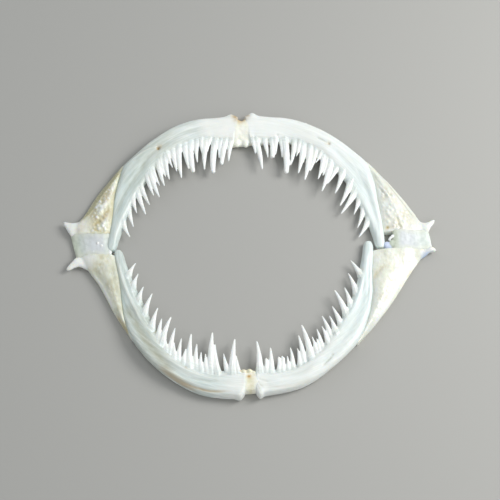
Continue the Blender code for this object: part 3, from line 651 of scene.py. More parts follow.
def join_shells(name, shells, voxel, smoothing, roughen, blends=()):
    """One closed surface round the shells, smoothed, with their tints and a fine unevenness.

    blends are (place, reach, times) round which the surface and its tints are evened out more.
    """
    bmesh.ops.recalc_face_normals(shells, faces=shells.faces[:])
    rough = bpy.data.meshes.new(name)
    shells.to_mesh(rough)
    item = bpy.data.objects.new(name, rough)
    bpy.context.scene.collection.objects.link(item)
    remesh = item.modifiers.new("join", "REMESH")
    remesh.mode = "VOXEL"
    remesh.voxel_size = voxel * MM
    graph = bpy.context.evaluated_depsgraph_get()
    joined = bpy.data.meshes.new_from_object(item.evaluated_get(graph))
    item.modifiers.clear()
    item.data = joined
    bpy.data.meshes.remove(rough)

    tree = BVHTree.FromBMesh(shells)
    shells.faces.ensure_lookup_table()
    mesh = bmesh.new()
    mesh.from_mesh(joined)
    sources = [shells.verts.layers.float[tint] for tint in TINTS]
    targets = [mesh.verts.layers.float.new(tint) for tint in TINTS]
    for vert in mesh.verts:
        spot, _, index, _ = tree.find_nearest(vert.co)
        corners = shells.faces[index].verts
        weights = poly_3d_calc([corner.co for corner in corners], spot)
        for source, target in zip(sources, targets):
            value = 0.0
            for weight, corner in zip(weights, corners):
                value += weight * corner[source]
            vert[target] = value
    shells.free()
    soften(mesh, mesh.verts[:], smoothing)
    tooth = mesh.verts.layers.float["tooth"]
    soften(mesh, [vert for vert in mesh.verts if 0.02 < vert[tooth] < 0.7], TOOTH_BLEND)
    for centre, reach, times in blends:
        around = [vert for vert in mesh.verts if (vert.co / MM - centre).length < reach]
        soften(mesh, around, times)
        soften_tints(mesh, around, times)
    mesh.normal_update()
    for vert in mesh.verts:
        vert.co += vert.normal * roughen(vert.co / MM) * MM
        vert.co.z = max(0.0, vert.co.z)
    mesh.to_mesh(joined)
    mesh.free()
    joined.shade_smooth()
    return item


def bone_grain(point):
    """Unevenness of dried bone, in mm: low swells and fine lines that follow the ring."""
    radius = math.hypot(point.x, point.y)
    arc = math.atan2(point.y, point.x) * RING_RADIUS
    swell = noise.noise(Vector((point.x, point.y, point.z)) * 0.35)
    lines = noise.noise(Vector((arc * 0.16, radius * 1.6, point.z * 0.9)))
    return 0.05 * swell + 0.035 * lines


def make_dentary(name, half, draw):
    """Dentary with its teeth."""
    rows_front = 5
    rows_tip = 6
    rows_middle = 300
    positions = ring_positions(DENTARY_CURVE, DENTARY_TOP, 64, 26)
    front, tip = half["front"], half["tip"]
    rows = []
    for i in range(rows_front):
        t = i / rows_front
        at = front + FRONT_ROUND * (1.0 - math.sqrt(1.0 - t * t))
        rows.append((at, math.sin(t * math.pi / 2)))
    for i in range(rows_middle + 1):
        at = front + FRONT_ROUND + (tip - TIP_ROUND - front - FRONT_ROUND) * i / rows_middle
        rows.append((at, 1.0))
    for i in range(1, rows_tip + 1):
        t = 1.0 - i / rows_tip
        at = tip - TIP_ROUND * (1.0 - math.sqrt(1.0 - t * t))
        rows.append((at, math.sin(t * math.pi / 2)))
    rings = [curve_point(DENTARY_CURVE, at) for at in positions]
    depth, edge = half["shelf"]

    def surface(angle, share):
        outer, inner = dentary_edges(half, angle)
        return plan_point(half, angle, outer + (inner - outer) * share, 0.0)

    def place(row, step):
        angle, swell = rows[row]
        share, level = rings[step]
        outer, inner = dentary_edges(half, angle)
        thickness = smooth_value(DENTARY_THICKNESS, angle)
        left = (tip - angle) / TIP_CLOSE
        if left < 1.0:
            close = math.sqrt(max(0.0, 1.0 - (1.0 - left) ** 2))
            share = 0.5 + (share - 0.5) * (TIP_WIDTH + (1.0 - TIP_WIDTH) * close)
            level = 0.5 + (level - 0.5) * (TIP_THICKNESS + (1.0 - TIP_THICKNESS) * close)
        share = 0.5 + (share - 0.5) * swell
        level = 0.45 + (level - 0.45) * swell
        upward = ease(0.42, 0.62, level) * swell
        height = lift(angle) + thickness * level
        tints = {}
        if upward > 0.0:
            rise, tints = line_marks(half["lines"], half["spots"], angle, share, outer - inner,
                                     surface)
            first, last = edge[0][0], edge[-1][0]
            drop = ease(0.0, 0.7, (share - smooth_value(edge, angle)) * (outer - inner))
            drop *= depth * ease(-last, 6.0 - last, -angle) * ease(0.42, 0.9, level)
            drop *= ease(first, first + 5.0, angle)
            height += (rise - drop) * upward
            tints = {tint: value * upward for tint, value in tints.items()}
        cream = 0.8 * (1.0 - ease(front + 1.0, front + 1.0 + FRONT_CREAM, angle))
        # Painted light: paleness laid over the halves that the light falls on most, less towards the
        # rear; the rear is also tinted bluish
        rear = ease(28.0, 60.0, angle)
        tints["pearl"] = max(tints.get("pearl", 0.0), half["white"] * (1.0 - 0.5 * rear), cream)
        tints["cool"] = max(tints.get("cool", 0.0), half["blue"] * rear)
        # Painted shade over the dim halves, strongest from 38 to 56 degrees
        middle = ease(22.0, 38.0, angle) * (1.0 - 0.5 * ease(56.0, 66.0, angle))
        tints["shade"] = max(tints.get("shade", 0.0), half["dull"] * (0.15 + 0.85 * middle))
        fade = max(0.0, 1.0 - (angle - front) / FRONT_FADE)
        point = plan_point(half, angle + half["skew"] * share * fade,
                           outer + (inner - outer) * share, height)
        return point, tints

    shells = start_shells()
    add_skin(shells, len(rows) - 1, len(positions), place)
    for tooth in half["teeth"]:
        add_tooth(shells, half, tooth, draw)
    return join_shells(name, shells, BONE_VOXEL, 1, bone_grain)


def add_tooth(shells, half, tooth, draw):
    """Fluted, slightly curved tooth with its root sunk in the bone."""
    angle, size, lean, style = tooth
    tip_radius, base_radius, kept = TOOTH_STYLE[style]
    length = TOOTH_LENGTH[size] * (1.0 + draw.uniform(-TOOTH_LENGTH_SPREAD, TOOTH_LENGTH_SPREAD))
    turn = math.radians(lean)
    ahead = Vector((-half["side"] * math.sin(turn), -half["up"] * math.cos(turn), 0.0))
    across = Vector((-ahead.y, ahead.x, 0.0))
    towards = across * (1.0 if across.x * half["side"] < 0.0 else -1.0)
    outer, inner = dentary_edges(half, angle)
    seat = plan_point(half, angle, outer + (inner - outer) * TOOTH_SEAT,
                      lift(angle) + smooth_value(DENTARY_THICKNESS, angle) * TOOTH_SEAT_HEIGHT)
    if length < SHORT_TOOTH:
        seat.z += SHORT_TOOTH_RISE
    bend = TOOTH_BEND * length * (1.0 + draw.uniform(-0.3, 0.3))
    tilt = length * draw.uniform(-0.015, 0.02)
    root = half["root"]
    taper = [(share, radius + growth * length) for share, radius, growth in TOOTH_TAPER]
    taper[0] = (0.0, taper[0][1] * base_radius)
    taper[1] = (taper[1][0], taper[1][1] * (1.0 + 0.6 * (base_radius - 1.0)))
    taper[3] = (taper[3][0], taper[3][1] * tip_radius)
    fuller = 0.3 if tip_radius > 1.0 else 0.15
    taper[2] = (taper[2][0], taper[2][1] * (1.0 + fuller * (tip_radius - 1.0)))
    phase = draw.uniform(0.0, 2.0 * math.pi)
    ragged = draw.uniform(0.0, 10.0)
    stops = [(-root, 0.0), (-root, 0.35), (-root + 0.35, 0.72), (-0.66 * root, 0.92)]
    stops += [(-0.3 * root, 1.0), (0.0, 1.0)]
    body = [length * share for share in
            (0.05, 0.10, 0.16, 0.24, 0.32, 0.40, 0.48, 0.56, 0.64, 0.72, 0.80, 0.87, 0.92)]
    end = [(0.95, 1.0), (0.972, 0.88), (0.988, 0.62), (0.997, 0.3), (1.0, 0.0)]
    tip_size = taper[3][1]
    rings = [(place, share * taper[0][1]) for place, share in stops]
    rings += [(place, smooth_value(taper, place / length)) for place in body]
    rings += [(length * (kept - 1.0) + length * share, tip_size * size_left)
              for share, size_left in end]

    def place(row, step):
        at, radius = rings[row]
        share = max(0.0, at / length)
        theta = 2.0 * math.pi * step / TOOTH_SIDES
        flute = 0.08 * math.cos(TOOTH_FLUTES * theta + phase) * (1.0 - ease(0.2, 0.85, share))
        wear = 0.0
        if style == "broken" and share > 0.8:
            wear = 0.9 * noise.noise(Vector((math.cos(theta), math.sin(theta), ragged)))
        radius *= 1.0 + flute
        centre = seat + ahead * (at + wear)
        centre += towards * bend * (share * share - share)
        centre.z += tilt * share + 0.02 * length * math.sin(math.pi * share)
        point = centre + across * (radius * math.cos(theta))
        point.z += radius * TOOTH_FLATNESS * math.sin(theta)
        grown = ease(-0.5 * root, 0.30 * length, at)
        # Painted shade in the flutes near the base of a tooth
        groove = max(0.0, -math.cos(TOOTH_FLUTES * theta + phase))
        hollow = 0.22 * (1.0 - ease(0.02, 0.35, share)) * groove
        return point, {"tooth": grown, "shade": hollow * grown}

    add_skin(shells, len(rings) - 1, TOOTH_SIDES, place)


def plate_share(half, angle, share):
    """Angle at a share of the way out, so that the rear end of the plate is square to the jaw."""
    start = half["split"]
    inner_end, outer_end = half["end"]
    return angle + (outer_end - inner_end) * share * (angle - start) / (inner_end - start)


def make_articular(name, half, plate):
    """Articular: a plate from the limb out to a thin margin, with a hooked spine at its corner."""
    rows_end = 5
    rows_middle = 210
    positions = ring_positions(ARTICULAR_CURVE, ARTICULAR_TOP, 74, 24)
    rings = [curve_point(ARTICULAR_CURVE, at) for at in positions]
    start = half["split"] + 0.2
    stop = half["end"][0]
    rows = [(start + 0.3 * (i / rows_end), math.sin(i / rows_end * math.pi / 2))
            for i in range(rows_end)]
    rows += [(start + 0.3 + (stop - 0.35 - start - 0.3) * i / rows_middle, 1.0)
             for i in range(rows_middle + 1)]
    for i in range(1, rows_end + 1):
        t = 1.0 - i / rows_end
        rows.append((stop - 0.35 * (1.0 - math.sqrt(1.0 - t * t)), math.sin(t * math.pi / 2)))

    def flat(angle, share):
        angle = plate_share(half, angle, share)
        inner = dentary_outer(half, angle) - PLATE_LAP
        outer = smooth_value(half["outer"], angle)
        return plan_point(half, angle, inner + (outer - inner) * share, 0.0)

    def place(row, step):
        angle, swell = rows[row]
        share, level = rings[step]
        wedge = 1.0 - ease(start, start + WEDGE_FADE, angle)
        level += (0.86 - level) * wedge * ease(0.22, 0.36, level)
        share = 0.5 + (share - 0.5) * (0.6 + 0.4 * swell if angle > 60.0 else swell)
        level = 0.45 + (level - 0.45) * swell
        if swell == 0.0:
            share = 0.5
        point = flat(angle, share)
        real = plate_share(half, angle, share)
        thickness = smooth_value(ARTICULAR_THICKNESS, real)
        width = smooth_value(half["outer"], real) - smooth_value(half["limb"], real)
        upward = ease(0.24, 0.40, level) * swell
        point.z = thickness * level
        tints = {}
        if upward > 0.0:
            rise, tints = line_marks(plate["lines"], plate["spots"], real, share, width, flat)
            margin = ease(-0.02, 0.06, share - smooth_value(plate["margin"], real))
            inside = 1.0 - margin
            # Nodules: rounded lumps with hollows between
            cells, _ = noise.voronoi(Vector((point.x / NODULE_WIDTH + point.y * 0.15,
                                             point.y / NODULE_LENGTH, 0.0)))
            dome = 1.0 - ease(0.05, 0.66, cells[0])
            hollow = 1.0 - ease(0.02, 0.36, cells[1] - cells[0])
            patch = noise.noise(Vector((point.x * 0.17, point.y * 0.17, 3.0)))
            cloud = noise.noise(Vector((point.x * 0.24, point.y * 0.15, 8.0)))
            body = ease(0.0, 3.0, width * share) * ease(0.0, 2.5, width * (1.0 - share))
            body *= 1.0 - ease(stop - 1.6, stop - 0.3, angle)
            rough = plate["nodules"] * body * inside
            rise += rough * (dome - 0.45)
            tints["thin"] = (plate["edge"] * margin * ease(start, start + 5.0, angle)
                             * (1.0 - ease(stop - 7.0, stop - 3.0, angle)))
            # Highlights painted on the tops of the nodules
            tints["pearl"] = max(tints.get("pearl", 0.0), min(1.0, 1.5 * rough * dome))
            hollow *= body * inside * ease(-0.25, 0.30, patch)
            tints["stain"] = max(tints.get("stain", 0.0), plate["tint"] * hollow)
            tints["shade"] = max(tints.get("shade", 0.0), plate["olive"] * inside
                                 * ease(-0.25, 0.35, cloud) * (1.0 - tints["pearl"]))
            point.z = max(0.6, point.z + rise * upward * min(1.0, thickness / 3.0))
            tints = {tint: value * upward for tint, value in tints.items()}
        # Paleness, mostly painted light on the plates that the light falls on most
        tints["pearl"] = max(tints.get("pearl", 0.0), plate["white"])
        return point, tints

    shells = start_shells()
    add_skin(shells, len(rows) - 1, len(positions), place)
    add_hook(shells, half, plate["hook"])
    blends = []
    for (ax, ay), (bx, by) in half["hook"][:2]:
        root = Vector(((ax + bx) / 2, (ay + by) / 2, HOOK_RINGS[1][0]))
        blends.append((root, HOOK_BLEND_REACH, HOOK_BLEND))
    return join_shells(name, shells, PLATE_VOXEL, 2, bone_grain, blends)


def add_hook(shells, half, blue):
    """Flattened spine that the plate's corner is drawn out into, between its two edge lines.

    blue is how much bluish tone lies under its root: painted shade on that side of the root, together
    with the glassy thin bone there.
    """
    edges = [[(i, value) for i, value in enumerate(values)] for values in (
        [a[0] for a, _ in half["hook"]], [a[1] for a, _ in half["hook"]],
        [b[0] for _, b in half["hook"]], [b[1] for _, b in half["hook"]],
        [ring[0] for ring in HOOK_RINGS], [ring[1] for ring in HOOK_RINGS])]
    count = 30
    sides = 24
    reach = len(half["hook"]) - 1

    def place(row, step):
        at = reach * row / count
        swell = 1.0
        if row < 3:
            swell = row / 3
        if row > count - 3:
            swell = (count - row) / 3
        ax, ay, bx, by, height, thick = (smooth_value(edge, at) for edge in edges)
        theta = 2.0 * math.pi * step / sides
        half_way = 0.5 * swell * math.cos(theta)
        point = Vector((ax, ay, 0.0)).lerp(Vector((bx, by, 0.0)), 0.5 + half_way)
        point.z = height + thick * swell * math.sin(theta)
        # Bluish tone on one side of the root: painted shade there, together with glassy thin bone
        under = blue * ease(0.05, 0.3, -half_way) * (1.0 - ease(1.6, 2.8, at))
        return point, {"pearl": 0.8, "cool": under}

    add_skin(shells, count, sides, place)


def bone_heights(item, places):
    """Heights of a bone's upper surface at places in plan, evened out along their row."""
    mesh = bmesh.new()
    mesh.from_mesh(item.data)
    tree = BVHTree.FromBMesh(mesh)
    mesh.free()
    found = []
    for place in places:
        above = Vector((place.x, place.y, 20.0)) * MM
        hit = tree.ray_cast(above, Vector((0.0, 0.0, -1.0)))[0]
        found.append(None if hit is None else min(TISSUE_CAP, hit.z / MM))
    known = [i for i, height in enumerate(found) if height is not None]
    filled = [found[min(known, key=lambda k: abs(k - i))] for i in range(len(found))]
    evened = []
    for i in range(len(filled)):
        near = filled[max(0, i - 2):i + 3]
        evened.append(sum(near) / len(near))
    return evened


def add_bridge(shells, near, far, curve, top, settle):
    """Adds soft tissue that runs from one bone's end to another's, as high as each where it joins.

    near and far are rows of points across the two ends. settle bends a point and gives its tints.
    """
    count = 46
    positions = ring_positions(curve, top, 60, 20)
    rings = [curve_point(curve, at) for at in positions]
    last = len(near) - 1

    def across(line, share):
        index = min(last - 1, max(0, int(share * last)))
        return line[index].lerp(line[index + 1], share * last - index)

    def place(row, step):
        share, level = rings[step]
        if row in (0, count):
            share, level = 0.5, 0.45
        t = min(1.0, max(0.0, (row - 1) / (count - 2)))
        point = across(near, share).lerp(across(far, share), t)
        point.z *= level
        return settle(point, t, share, level)

    add_skin(shells, count, len(positions), place)


def join_tissue(name, shells, knobs, smoothing):
    """One closed surface of soft tissue with its lumps."""
    for x, y, z, wide, long, tall, tint, strength in knobs:
        add_knob(shells, (x, y, z), (wide, long, tall), {tint: strength})
    return join_shells(name, shells, SOFT_VOXEL, smoothing, soft_grain)


def make_joint(name, halves, plates, rim, knobs):
    """Dried cartilage between the ends of the two articulars of one side, flush with both.

    rim is how olive it is along its outer edge.
    """
    ends = []
    for half, plate in zip(halves, plates):
        corners = []
        for share in (0.0, 1.0):
            angle = plate_share(half, half["end"][0], share)
            inner = dentary_outer(half, angle)
            outer = smooth_value(half["outer"], angle)
            corners.append(plan_point(half, angle, inner + (outer - inner) * share, 0.0))
        line = []
        first, last = half["joint"]
        for i in range(TISSUE_POINTS):
            reach = half["side"] * (first + (last - first) * i / (TISSUE_POINTS - 1))
            share = (reach - corners[0].x) / (corners[1].x - corners[0].x)
            point = corners[0].lerp(corners[1], share)
            point.y += half["up"] * TISSUE_LAP
            line.append(point)
        deeper = [point + Vector((0.0, half["up"] * 0.5, 0.0)) for point in line]
        for point, height in zip(line, bone_heights(plate, deeper)):
            point.z = height - 0.12
        ends.append(line)
    side = halves[0]["side"]

    def settle(point, t, share, level):
        middle = math.sin(math.pi * t)
        point.x += side * JOINT_BULGE * middle * share
        upward = ease(0.45, 0.9, level)
        folds = noise.noise(Vector((point.x * 0.7, point.y * 0.35, 5.0)))
        lumps = noise.noise(Vector((point.x * 0.5, point.y * 0.5, 9.0)))
        over = ease(0.0, 0.09, t) * ease(0.0, 0.09, 1.0 - t)
        rise = 0.2 * over + (0.10 * folds + 0.12 * lumps) * middle
        point.z += (rise - JOINT_SAG * middle * middle) * upward
        edge = rim * ease(0.70, 0.98, share)
        inmost = (0.7 - rim) * (1.0 - ease(0.04, 0.26, share))
        thin = 1.0 - ease(0.0, 0.30, t + 0.10 * folds) * ease(0.0, 0.30, 1.0 - t + 0.10 * folds)
        return point, {"shade": edge + inmost, "thin": thin,
                       "cool": ease(0.1, 0.25, share) * (1.0 - ease(0.45, 0.85, share))}

    shells = start_shells()
    add_bridge(shells, ends[0], ends[1], JOINT_CURVE, JOINT_TOP, settle)
    return join_tissue(name, shells, knobs, 2)


def soft_grain(point):
    """Unevenness of dried cartilage and ligament, in mm: shrunken wrinkles."""
    return (0.06 * noise.noise(Vector((point.x, point.y, point.z)) * 0.9)
            + 0.03 * noise.noise(Vector((point.x, point.y, point.z)) * 2.6))


def make_ligament(name, halves, bones, notch, knobs, spots):
    """Ligament between the front ends of a jaw's two dentaries, flush with both, with its lumps."""
    ends = []
    for half, bone in zip(halves, bones):
        outer, inner = dentary_edges(half, half["front"])
        rows = []
        for lap in (TISSUE_LAP, TISSUE_LAP + 0.7):
            row = []
            for i in range(TISSUE_POINTS):
                share = i / (TISSUE_POINTS - 1)
                radius = outer + (inner - outer) * share
                angle = half["front"] + half["skew"] * share + math.degrees(lap / radius)
                row.append(plan_point(half, angle, radius, 0.0))
            rows.append(row)
        line, deeper = rows
        for point, height in zip(line, bone_heights(bone, deeper)):
            point.z = height - 0.1
        ends.append(line)
    up = halves[0]["up"]

    def settle(point, t, share, level):
        middle = math.sin(math.pi * t)
        upward = ease(0.45, 0.9, level)
        lumps = noise.noise(Vector((point.x * 0.6, point.y * 0.6, 2.0)))
        over = ease(0.0, 0.12, t) * ease(0.0, 0.12, 1.0 - t)
        rise = 0.2 * over + 0.22 * lumps * middle
        point.z += (rise - LIGAMENT_SAG * middle * middle) * upward
        point.y -= up * notch * (1.0 - abs(2.0 * t - 1.0)) * (1.0 - ease(0.0, 0.35, share))
        tints = {"pearl": 1.0 - ease(0.12, 0.38, t) * ease(0.12, 0.38, 1.0 - t)}
        for x, y, size, tint, strength in spots:
            away = math.hypot(point.x - x, point.y - y) / size
            tints[tint] = max(tints.get(tint, 0.0), strength * math.exp(-away * away))
        return point, tints

    shells = start_shells()
    add_bridge(shells, ends[0], ends[1], DENTARY_CURVE, DENTARY_TOP, settle)
    return join_tissue(name, shells, knobs, 7)


def srgb(code, alpha=1.0):
    """Linear colour from a hex sRGB code such as #e8e4d8."""
    channels = [int(code[k:k + 2], 16) / 255.0 for k in (1, 3, 5)]
    linear = [c / 12.92 if c <= 0.04045 else ((c + 0.055) / 1.055) ** 2.4 for c in channels]
    return (*linear, alpha)


def add(tree, kind, links=None, out=0, **settings):
    """Adds a node with its settings and gives one of its outputs.

    links gives each input a value or another node's output.
    """
    item = tree.nodes.new(kind)
    for key, value in settings.items():
        setattr(item, key, value)
    for key, value in (links or {}).items():
        if isinstance(value, bpy.types.NodeSocket):
            tree.links.new(value, item.inputs[key])
        else:
            item.inputs[key].default_value = value
    return item.outputs[out]


def start_material(name, sockets):
    """Material with its even properties set, its nodes and its shader."""
    material = bpy.data.materials.new(name)
    material.use_nodes = True
    shader = material.node_tree.nodes["Principled BSDF"]
    for socket, value in sockets.items():
        shader.inputs[socket].default_value = value
    return material, material.node_tree, shader


def round_the_ring(tree, place):
    """Coordinates in mm that run round the ring, out from it and up, so that a grain follows it."""
    x, y, z = add(tree, "ShaderNodeSeparateXYZ", {0: place}).node.outputs
    turn = add(tree, "ShaderNodeMath", {0: y, 1: x}, operation="ARCTAN2")
    arc = add(tree, "ShaderNodeMath", {0: turn, 1: RING_RADIUS}, operation="MULTIPLY")
    flat = add(tree, "ShaderNodeCombineXYZ", {"X": x, "Y": y})
    radius = add(tree, "ShaderNodeVectorMath", {0: flat}, "Value", operation="LENGTH")
    return add(tree, "ShaderNodeCombineXYZ", {"X": arc, "Y": radius, "Z": z})


def grown_material(name, sockets, tints, patterns, uneven, colours, surface):
    """Material of something grown: colours laid over each other where patterns and tints say.

    patterns: the coordinates each one follows, its patches per mm along each axis, its detail.
    uneven: the tints that a pattern breaks up, with the least and the most share that it leaves.
    colours: for each, the colour it starts from and its layers. A layer is the pattern or tint
    that it follows, from where to where, its most, and its colour, which may be one made before.
    The last colour is the one that shows.
    surface: the gloss's pattern, least and most roughness, the relief's pattern, strength and mm.
    """
    material, tree, shader = start_material(name, sockets)
    amount = {tint: add(tree, "ShaderNodeAttribute", out="Fac", attribute_name=tint)
              for tint in tints}
    place = add(tree, "ShaderNodeTexCoord", out="Object")
    place = add(tree, "ShaderNodeVectorMath", {0: place, 3: 1.0 / MM}, operation="SCALE")
    follow = {"straight": place}
    if "ring" in (pattern[0] for pattern in patterns.values()):
        follow["ring"] = round_the_ring(tree, place)
    for pattern, (along, per_mm, detail) in patterns.items():
        place = add(tree, "ShaderNodeVectorMath", {0: follow[along], 1: per_mm},
                    operation="MULTIPLY")
        amount[pattern] = add(tree, "ShaderNodeTexNoise", {
            "Vector": place, "Scale": 1.0, "Detail": detail,
            "Roughness": NOISE_ROUGHNESS})
    for tint, (pattern, least, most) in uneven.items():
        share = add(tree, "ShaderNodeMapRange", {
            0: amount[pattern], 1: NOISE_LOW, 2: NOISE_HIGH, 3: least, 4: most})
        amount[tint] = add(tree, "ShaderNodeMath", {0: amount[tint], 1: share},
                           operation="MULTIPLY", use_clamp=True)
    made = {}
    for colour, (base, layers) in colours.items():
        shown = srgb(base)
        for follows, low, high, most, above in layers:
            cover = add(tree, "ShaderNodeMapRange", {
                0: amount[follows], 1: low, 2: high, 4: most})
            above = made[above] if above in made else srgb(above)
            shown = add(tree, "ShaderNodeMix", {0: cover, 6: shown, 7: above}, 2,
                        data_type="RGBA")
        made[colour] = shown
    gloss, glossy, dull, relief, strength, depth = surface
    rough = add(tree, "ShaderNodeMapRange", {
        0: amount[gloss], 1: NOISE_LOW, 2: NOISE_HIGH, 3: glossy, 4: dull})
    bump = add(tree, "ShaderNodeBump", {
        "Height": amount[relief], "Strength": strength, "Distance": depth * MM})
    for socket, value in (("Base Color", shown), ("Roughness", rough), ("Normal", bump)):
        tree.links.new(value, shader.inputs[socket])
    return material


def bone_and_teeth():
    """Cured fish bone and tooth: silky, cool ivory bone that lets a little light in, and whiter,
    glossier teeth. Grooves are painted with olive shade and keep brown traces of fat, and ridges
    carry painted highlights."""
    patterns = {
        # Lengthwise streaks about 1 mm wide and 10 mm long, as the bone's fibres give
        "streaks": ("ring", (0.10, 0.9, 0.5), 3.0),
        # Cloudy patches 11 mm wide
        "patches": ("straight", (0.09, 0.09, 0.09), 3.0),
        # Fibres 0.5 mm wide that run the length of the bone, a little darker than between
        "strands": ("ring", (0.10, 1.9, 0.9), 2.0),
        # Blotches 1 mm wide and 3 mm long that break up the painted shade and the brown stains in the
        # grooves
        "mottled": ("ring", (0.29, 0.91, 0.65), 3.0),
        # Flutes 0.6 mm apart on the teeth
        "flutes": ("ring", (1.6, 0.18, 1.2), 3.0),
        # Fine fibres, 0.25 mm apart, that stand out by a few hundredths of a millimetre
        "fine": ("ring", (0.35, 3.6, 2.0), 4.0)}
    colours = {
        # Milk white, with ivory flutes and a little of the groove's shade at the base
        "enamel": ("#ecf0ec", (("flutes", 0.35, 0.65, 1.0, "#fcfefb"),
                               ("shade", 0.0, 0.5, 0.55, "#a8a48c"))),
        "bone": ("#d6e1df", (("streaks", 0.36, 0.66, 1.0, "#f1f6f4"),
                             ("patches", 0.44, 0.66, 0.5, "#dce5e2"),
                             ("strands", 0.60, 0.42, 0.30, "#aab2a4"),
                             # A bluish tone that is partly painted shade, then paleness with painted
                             # highlights and painted light, then painted shade with olive tone, then
                             # brown stains
                             ("cool", 0.0, 1.0, 0.75, "#c2dde1"),
                             ("pearl", 0.0, 1.0, 0.9, "#f7f8f4"),
                             ("shade", 0.0, 1.0, 1.0, "#97946e"),
                             ("stain", 0.0, 0.8, 1.0, "#b79a62"),
                             ("stain", 0.6, 1.2, 1.0, "#6b4a22"),
                             ("tooth", 0.0, 1.0, 1.0, "enamel")))}
    return grown_material(
        "cured_fish_bone",
        {"IOR": 1.52, "Subsurface Weight": 0.35, "Subsurface Radius": (1.0, 0.85, 0.7),
         "Subsurface Scale": 0.9 * MM, "Coat Weight": 0.18, "Coat Roughness": 0.22},
        ("tooth", "shade", "stain", "pearl", "cool"), patterns,
        {"shade": ("mottled", 0.65, 1.15), "stain": ("mottled", 0.75, 1.2)}, colours,
        ("streaks", 0.30, 0.46, "fine", 0.45, 0.14))


def plate_bone():
    """Thin bone with fat dried into it: cream nodules with painted highlights on their tops, amber
    hollows and a horn-like margin.
    """
    patterns = {
        # Clouds 5 mm wide in the fat
        "clouds": ("straight", (0.22, 0.22, 0.22), 3.0),
        # Grain 0.8 mm wide along the bone
        "fine": ("ring", (0.60, 1.32, 0.96), 4.0),
        # Speckles 0.6 mm wide, which also give the surface its fine relief
        "speckle": ("straight", (1.6, 1.6, 1.6), 2.0)}
    colours = {
        "margin": ("#a6a17b", (("speckle", 0.40, 0.62, 1.0, "#c5c19d"),)),
        "plate": ("#d9d9bd", (("clouds", 0.38, 0.64, 1.0, "#e9ecdb"),
                              ("fine", 0.42, 0.70, 0.4, "#c9c8a0"),
                              # Paleness with painted highlights and painted light, then the horn
                              # margin, painted shade with olive clouds, amber stains, and a bluish tone
                              # that is partly painted shade
                              ("pearl", 0.0, 0.7, 0.95, "#eceeea"),
                              ("thin", 0.0, 1.0, 0.9, "margin"),
                              ("shade", 0.0, 1.0, 1.0, "#8b8c68"),
                              ("stain", 0.0, 0.8, 1.0, "#bfae7c"),
                              ("stain", 0.7, 1.1, 0.7, "#a98649"),
                              ("cool", 0.0, 1.0, 1.0, "#98acca")))}
    return grown_material(
        "fatty_plate_bone",
        {"IOR": 1.52, "Subsurface Weight": 0.3, "Subsurface Radius": (1.0, 0.75, 0.45),
         "Subsurface Scale": 0.9 * MM, "Coat Weight": 0.3, "Coat Roughness": 0.18},
        ("shade", "stain", "pearl", "cool", "thin"), patterns,
        {"shade": ("fine", 0.7, 1.15), "stain": ("fine", 0.7, 1.2)}, colours,
        ("fine", 0.26, 0.48, "speckle", 0.4, 0.2))


def cartilage():
    """Dried cartilage: grey and glassy like gelatine, with white chalky specks."""
    patterns = {
        # Clouds 3 mm wide
        "clouds": ("straight", (0.35, 0.35, 0.35), 3.0),
        # Folds 1 mm wide and 4 mm long from jaw to jaw
        "folds": ("straight", (1.1, 0.25, 0.5), 3.0)}
    colours = {"cartilage": ("#d2dbd4", (("clouds", 0.36, 0.64, 1.0, "#e4eae5"),
                                         ("folds", 0.40, 0.66, 0.4, "#d5dad2"),
                                         ("shade", 0.0, 1.0, 0.7, "#b3ba9a"),
                                         ("stain", 0.0, 1.0, 1.0, "#a8763c"),
                                         ("cool", 0.0, 1.0, 0.6, "#d4d5dc"),
                                         ("thin", 0.0, 1.0, 0.7, "#e0e3d3"),
                                         ("pearl", 0.0, 1.0, 1.0, "#f4f5f4"),
                                         ("knob", 0.0, 1.0, 1.0, "#ccd6ee")))}
    return grown_material(
        "dried_cartilage",
        {"IOR": 1.42, "Subsurface Weight": 0.6, "Subsurface Radius": (1.0, 0.95, 0.9),
         "Subsurface Scale": 1.6 * MM, "Coat Weight": 0.10, "Coat Roughness": 0.35},
        ("shade", "stain", "pearl", "cool", "thin", "knob"), patterns, {}, colours,
        ("clouds", 0.40, 0.52, "folds", 0.2, 0.3))


def ligament():
    """Dried ligament: yellow cream with amber where it is thin, and a waxy sheen."""
    patterns = {
        # Clouds 2 mm wide
        "clouds": ("straight", (0.5, 0.5, 0.5), 3.0),
        # Grain 0.7 mm wide in the relief
        "fine": ("straight", (1.4, 1.4, 1.4), 3.0)}
    colours = {"ligament": ("#efebd3", (("clouds", 0.36, 0.64, 1.0, "#f8f6ea"),
                                        ("shade", 0.0, 1.0, 0.85, "#c3bf85"),
                                        ("pearl", 0.0, 1.0, 1.0, "#f6f7ec"),
                                        ("stain", 0.0, 0.8, 1.0, "#c9a257"),
                                        ("stain", 0.6, 1.0, 1.0, "#a5722c")))}
    return grown_material(
        "dried_ligament",
        {"IOR": 1.5, "Subsurface Weight": 0.35, "Subsurface Radius": (1.0, 0.85, 0.65),
         "Subsurface Scale": 0.9 * MM, "Coat Weight": 0.3, "Coat Roughness": 0.2},
        ("shade", "stain", "pearl"), patterns, {}, colours,
        ("clouds", 0.28, 0.44, "fine", 0.35, 0.3))


def finish(item, material, node):
    """Gives a piece its material, hangs it from the root body and hides the solid that it stands for.
    """
    item.data.materials.clear()
    item.data.materials.append(material)
    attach(item, "root")
    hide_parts(node)


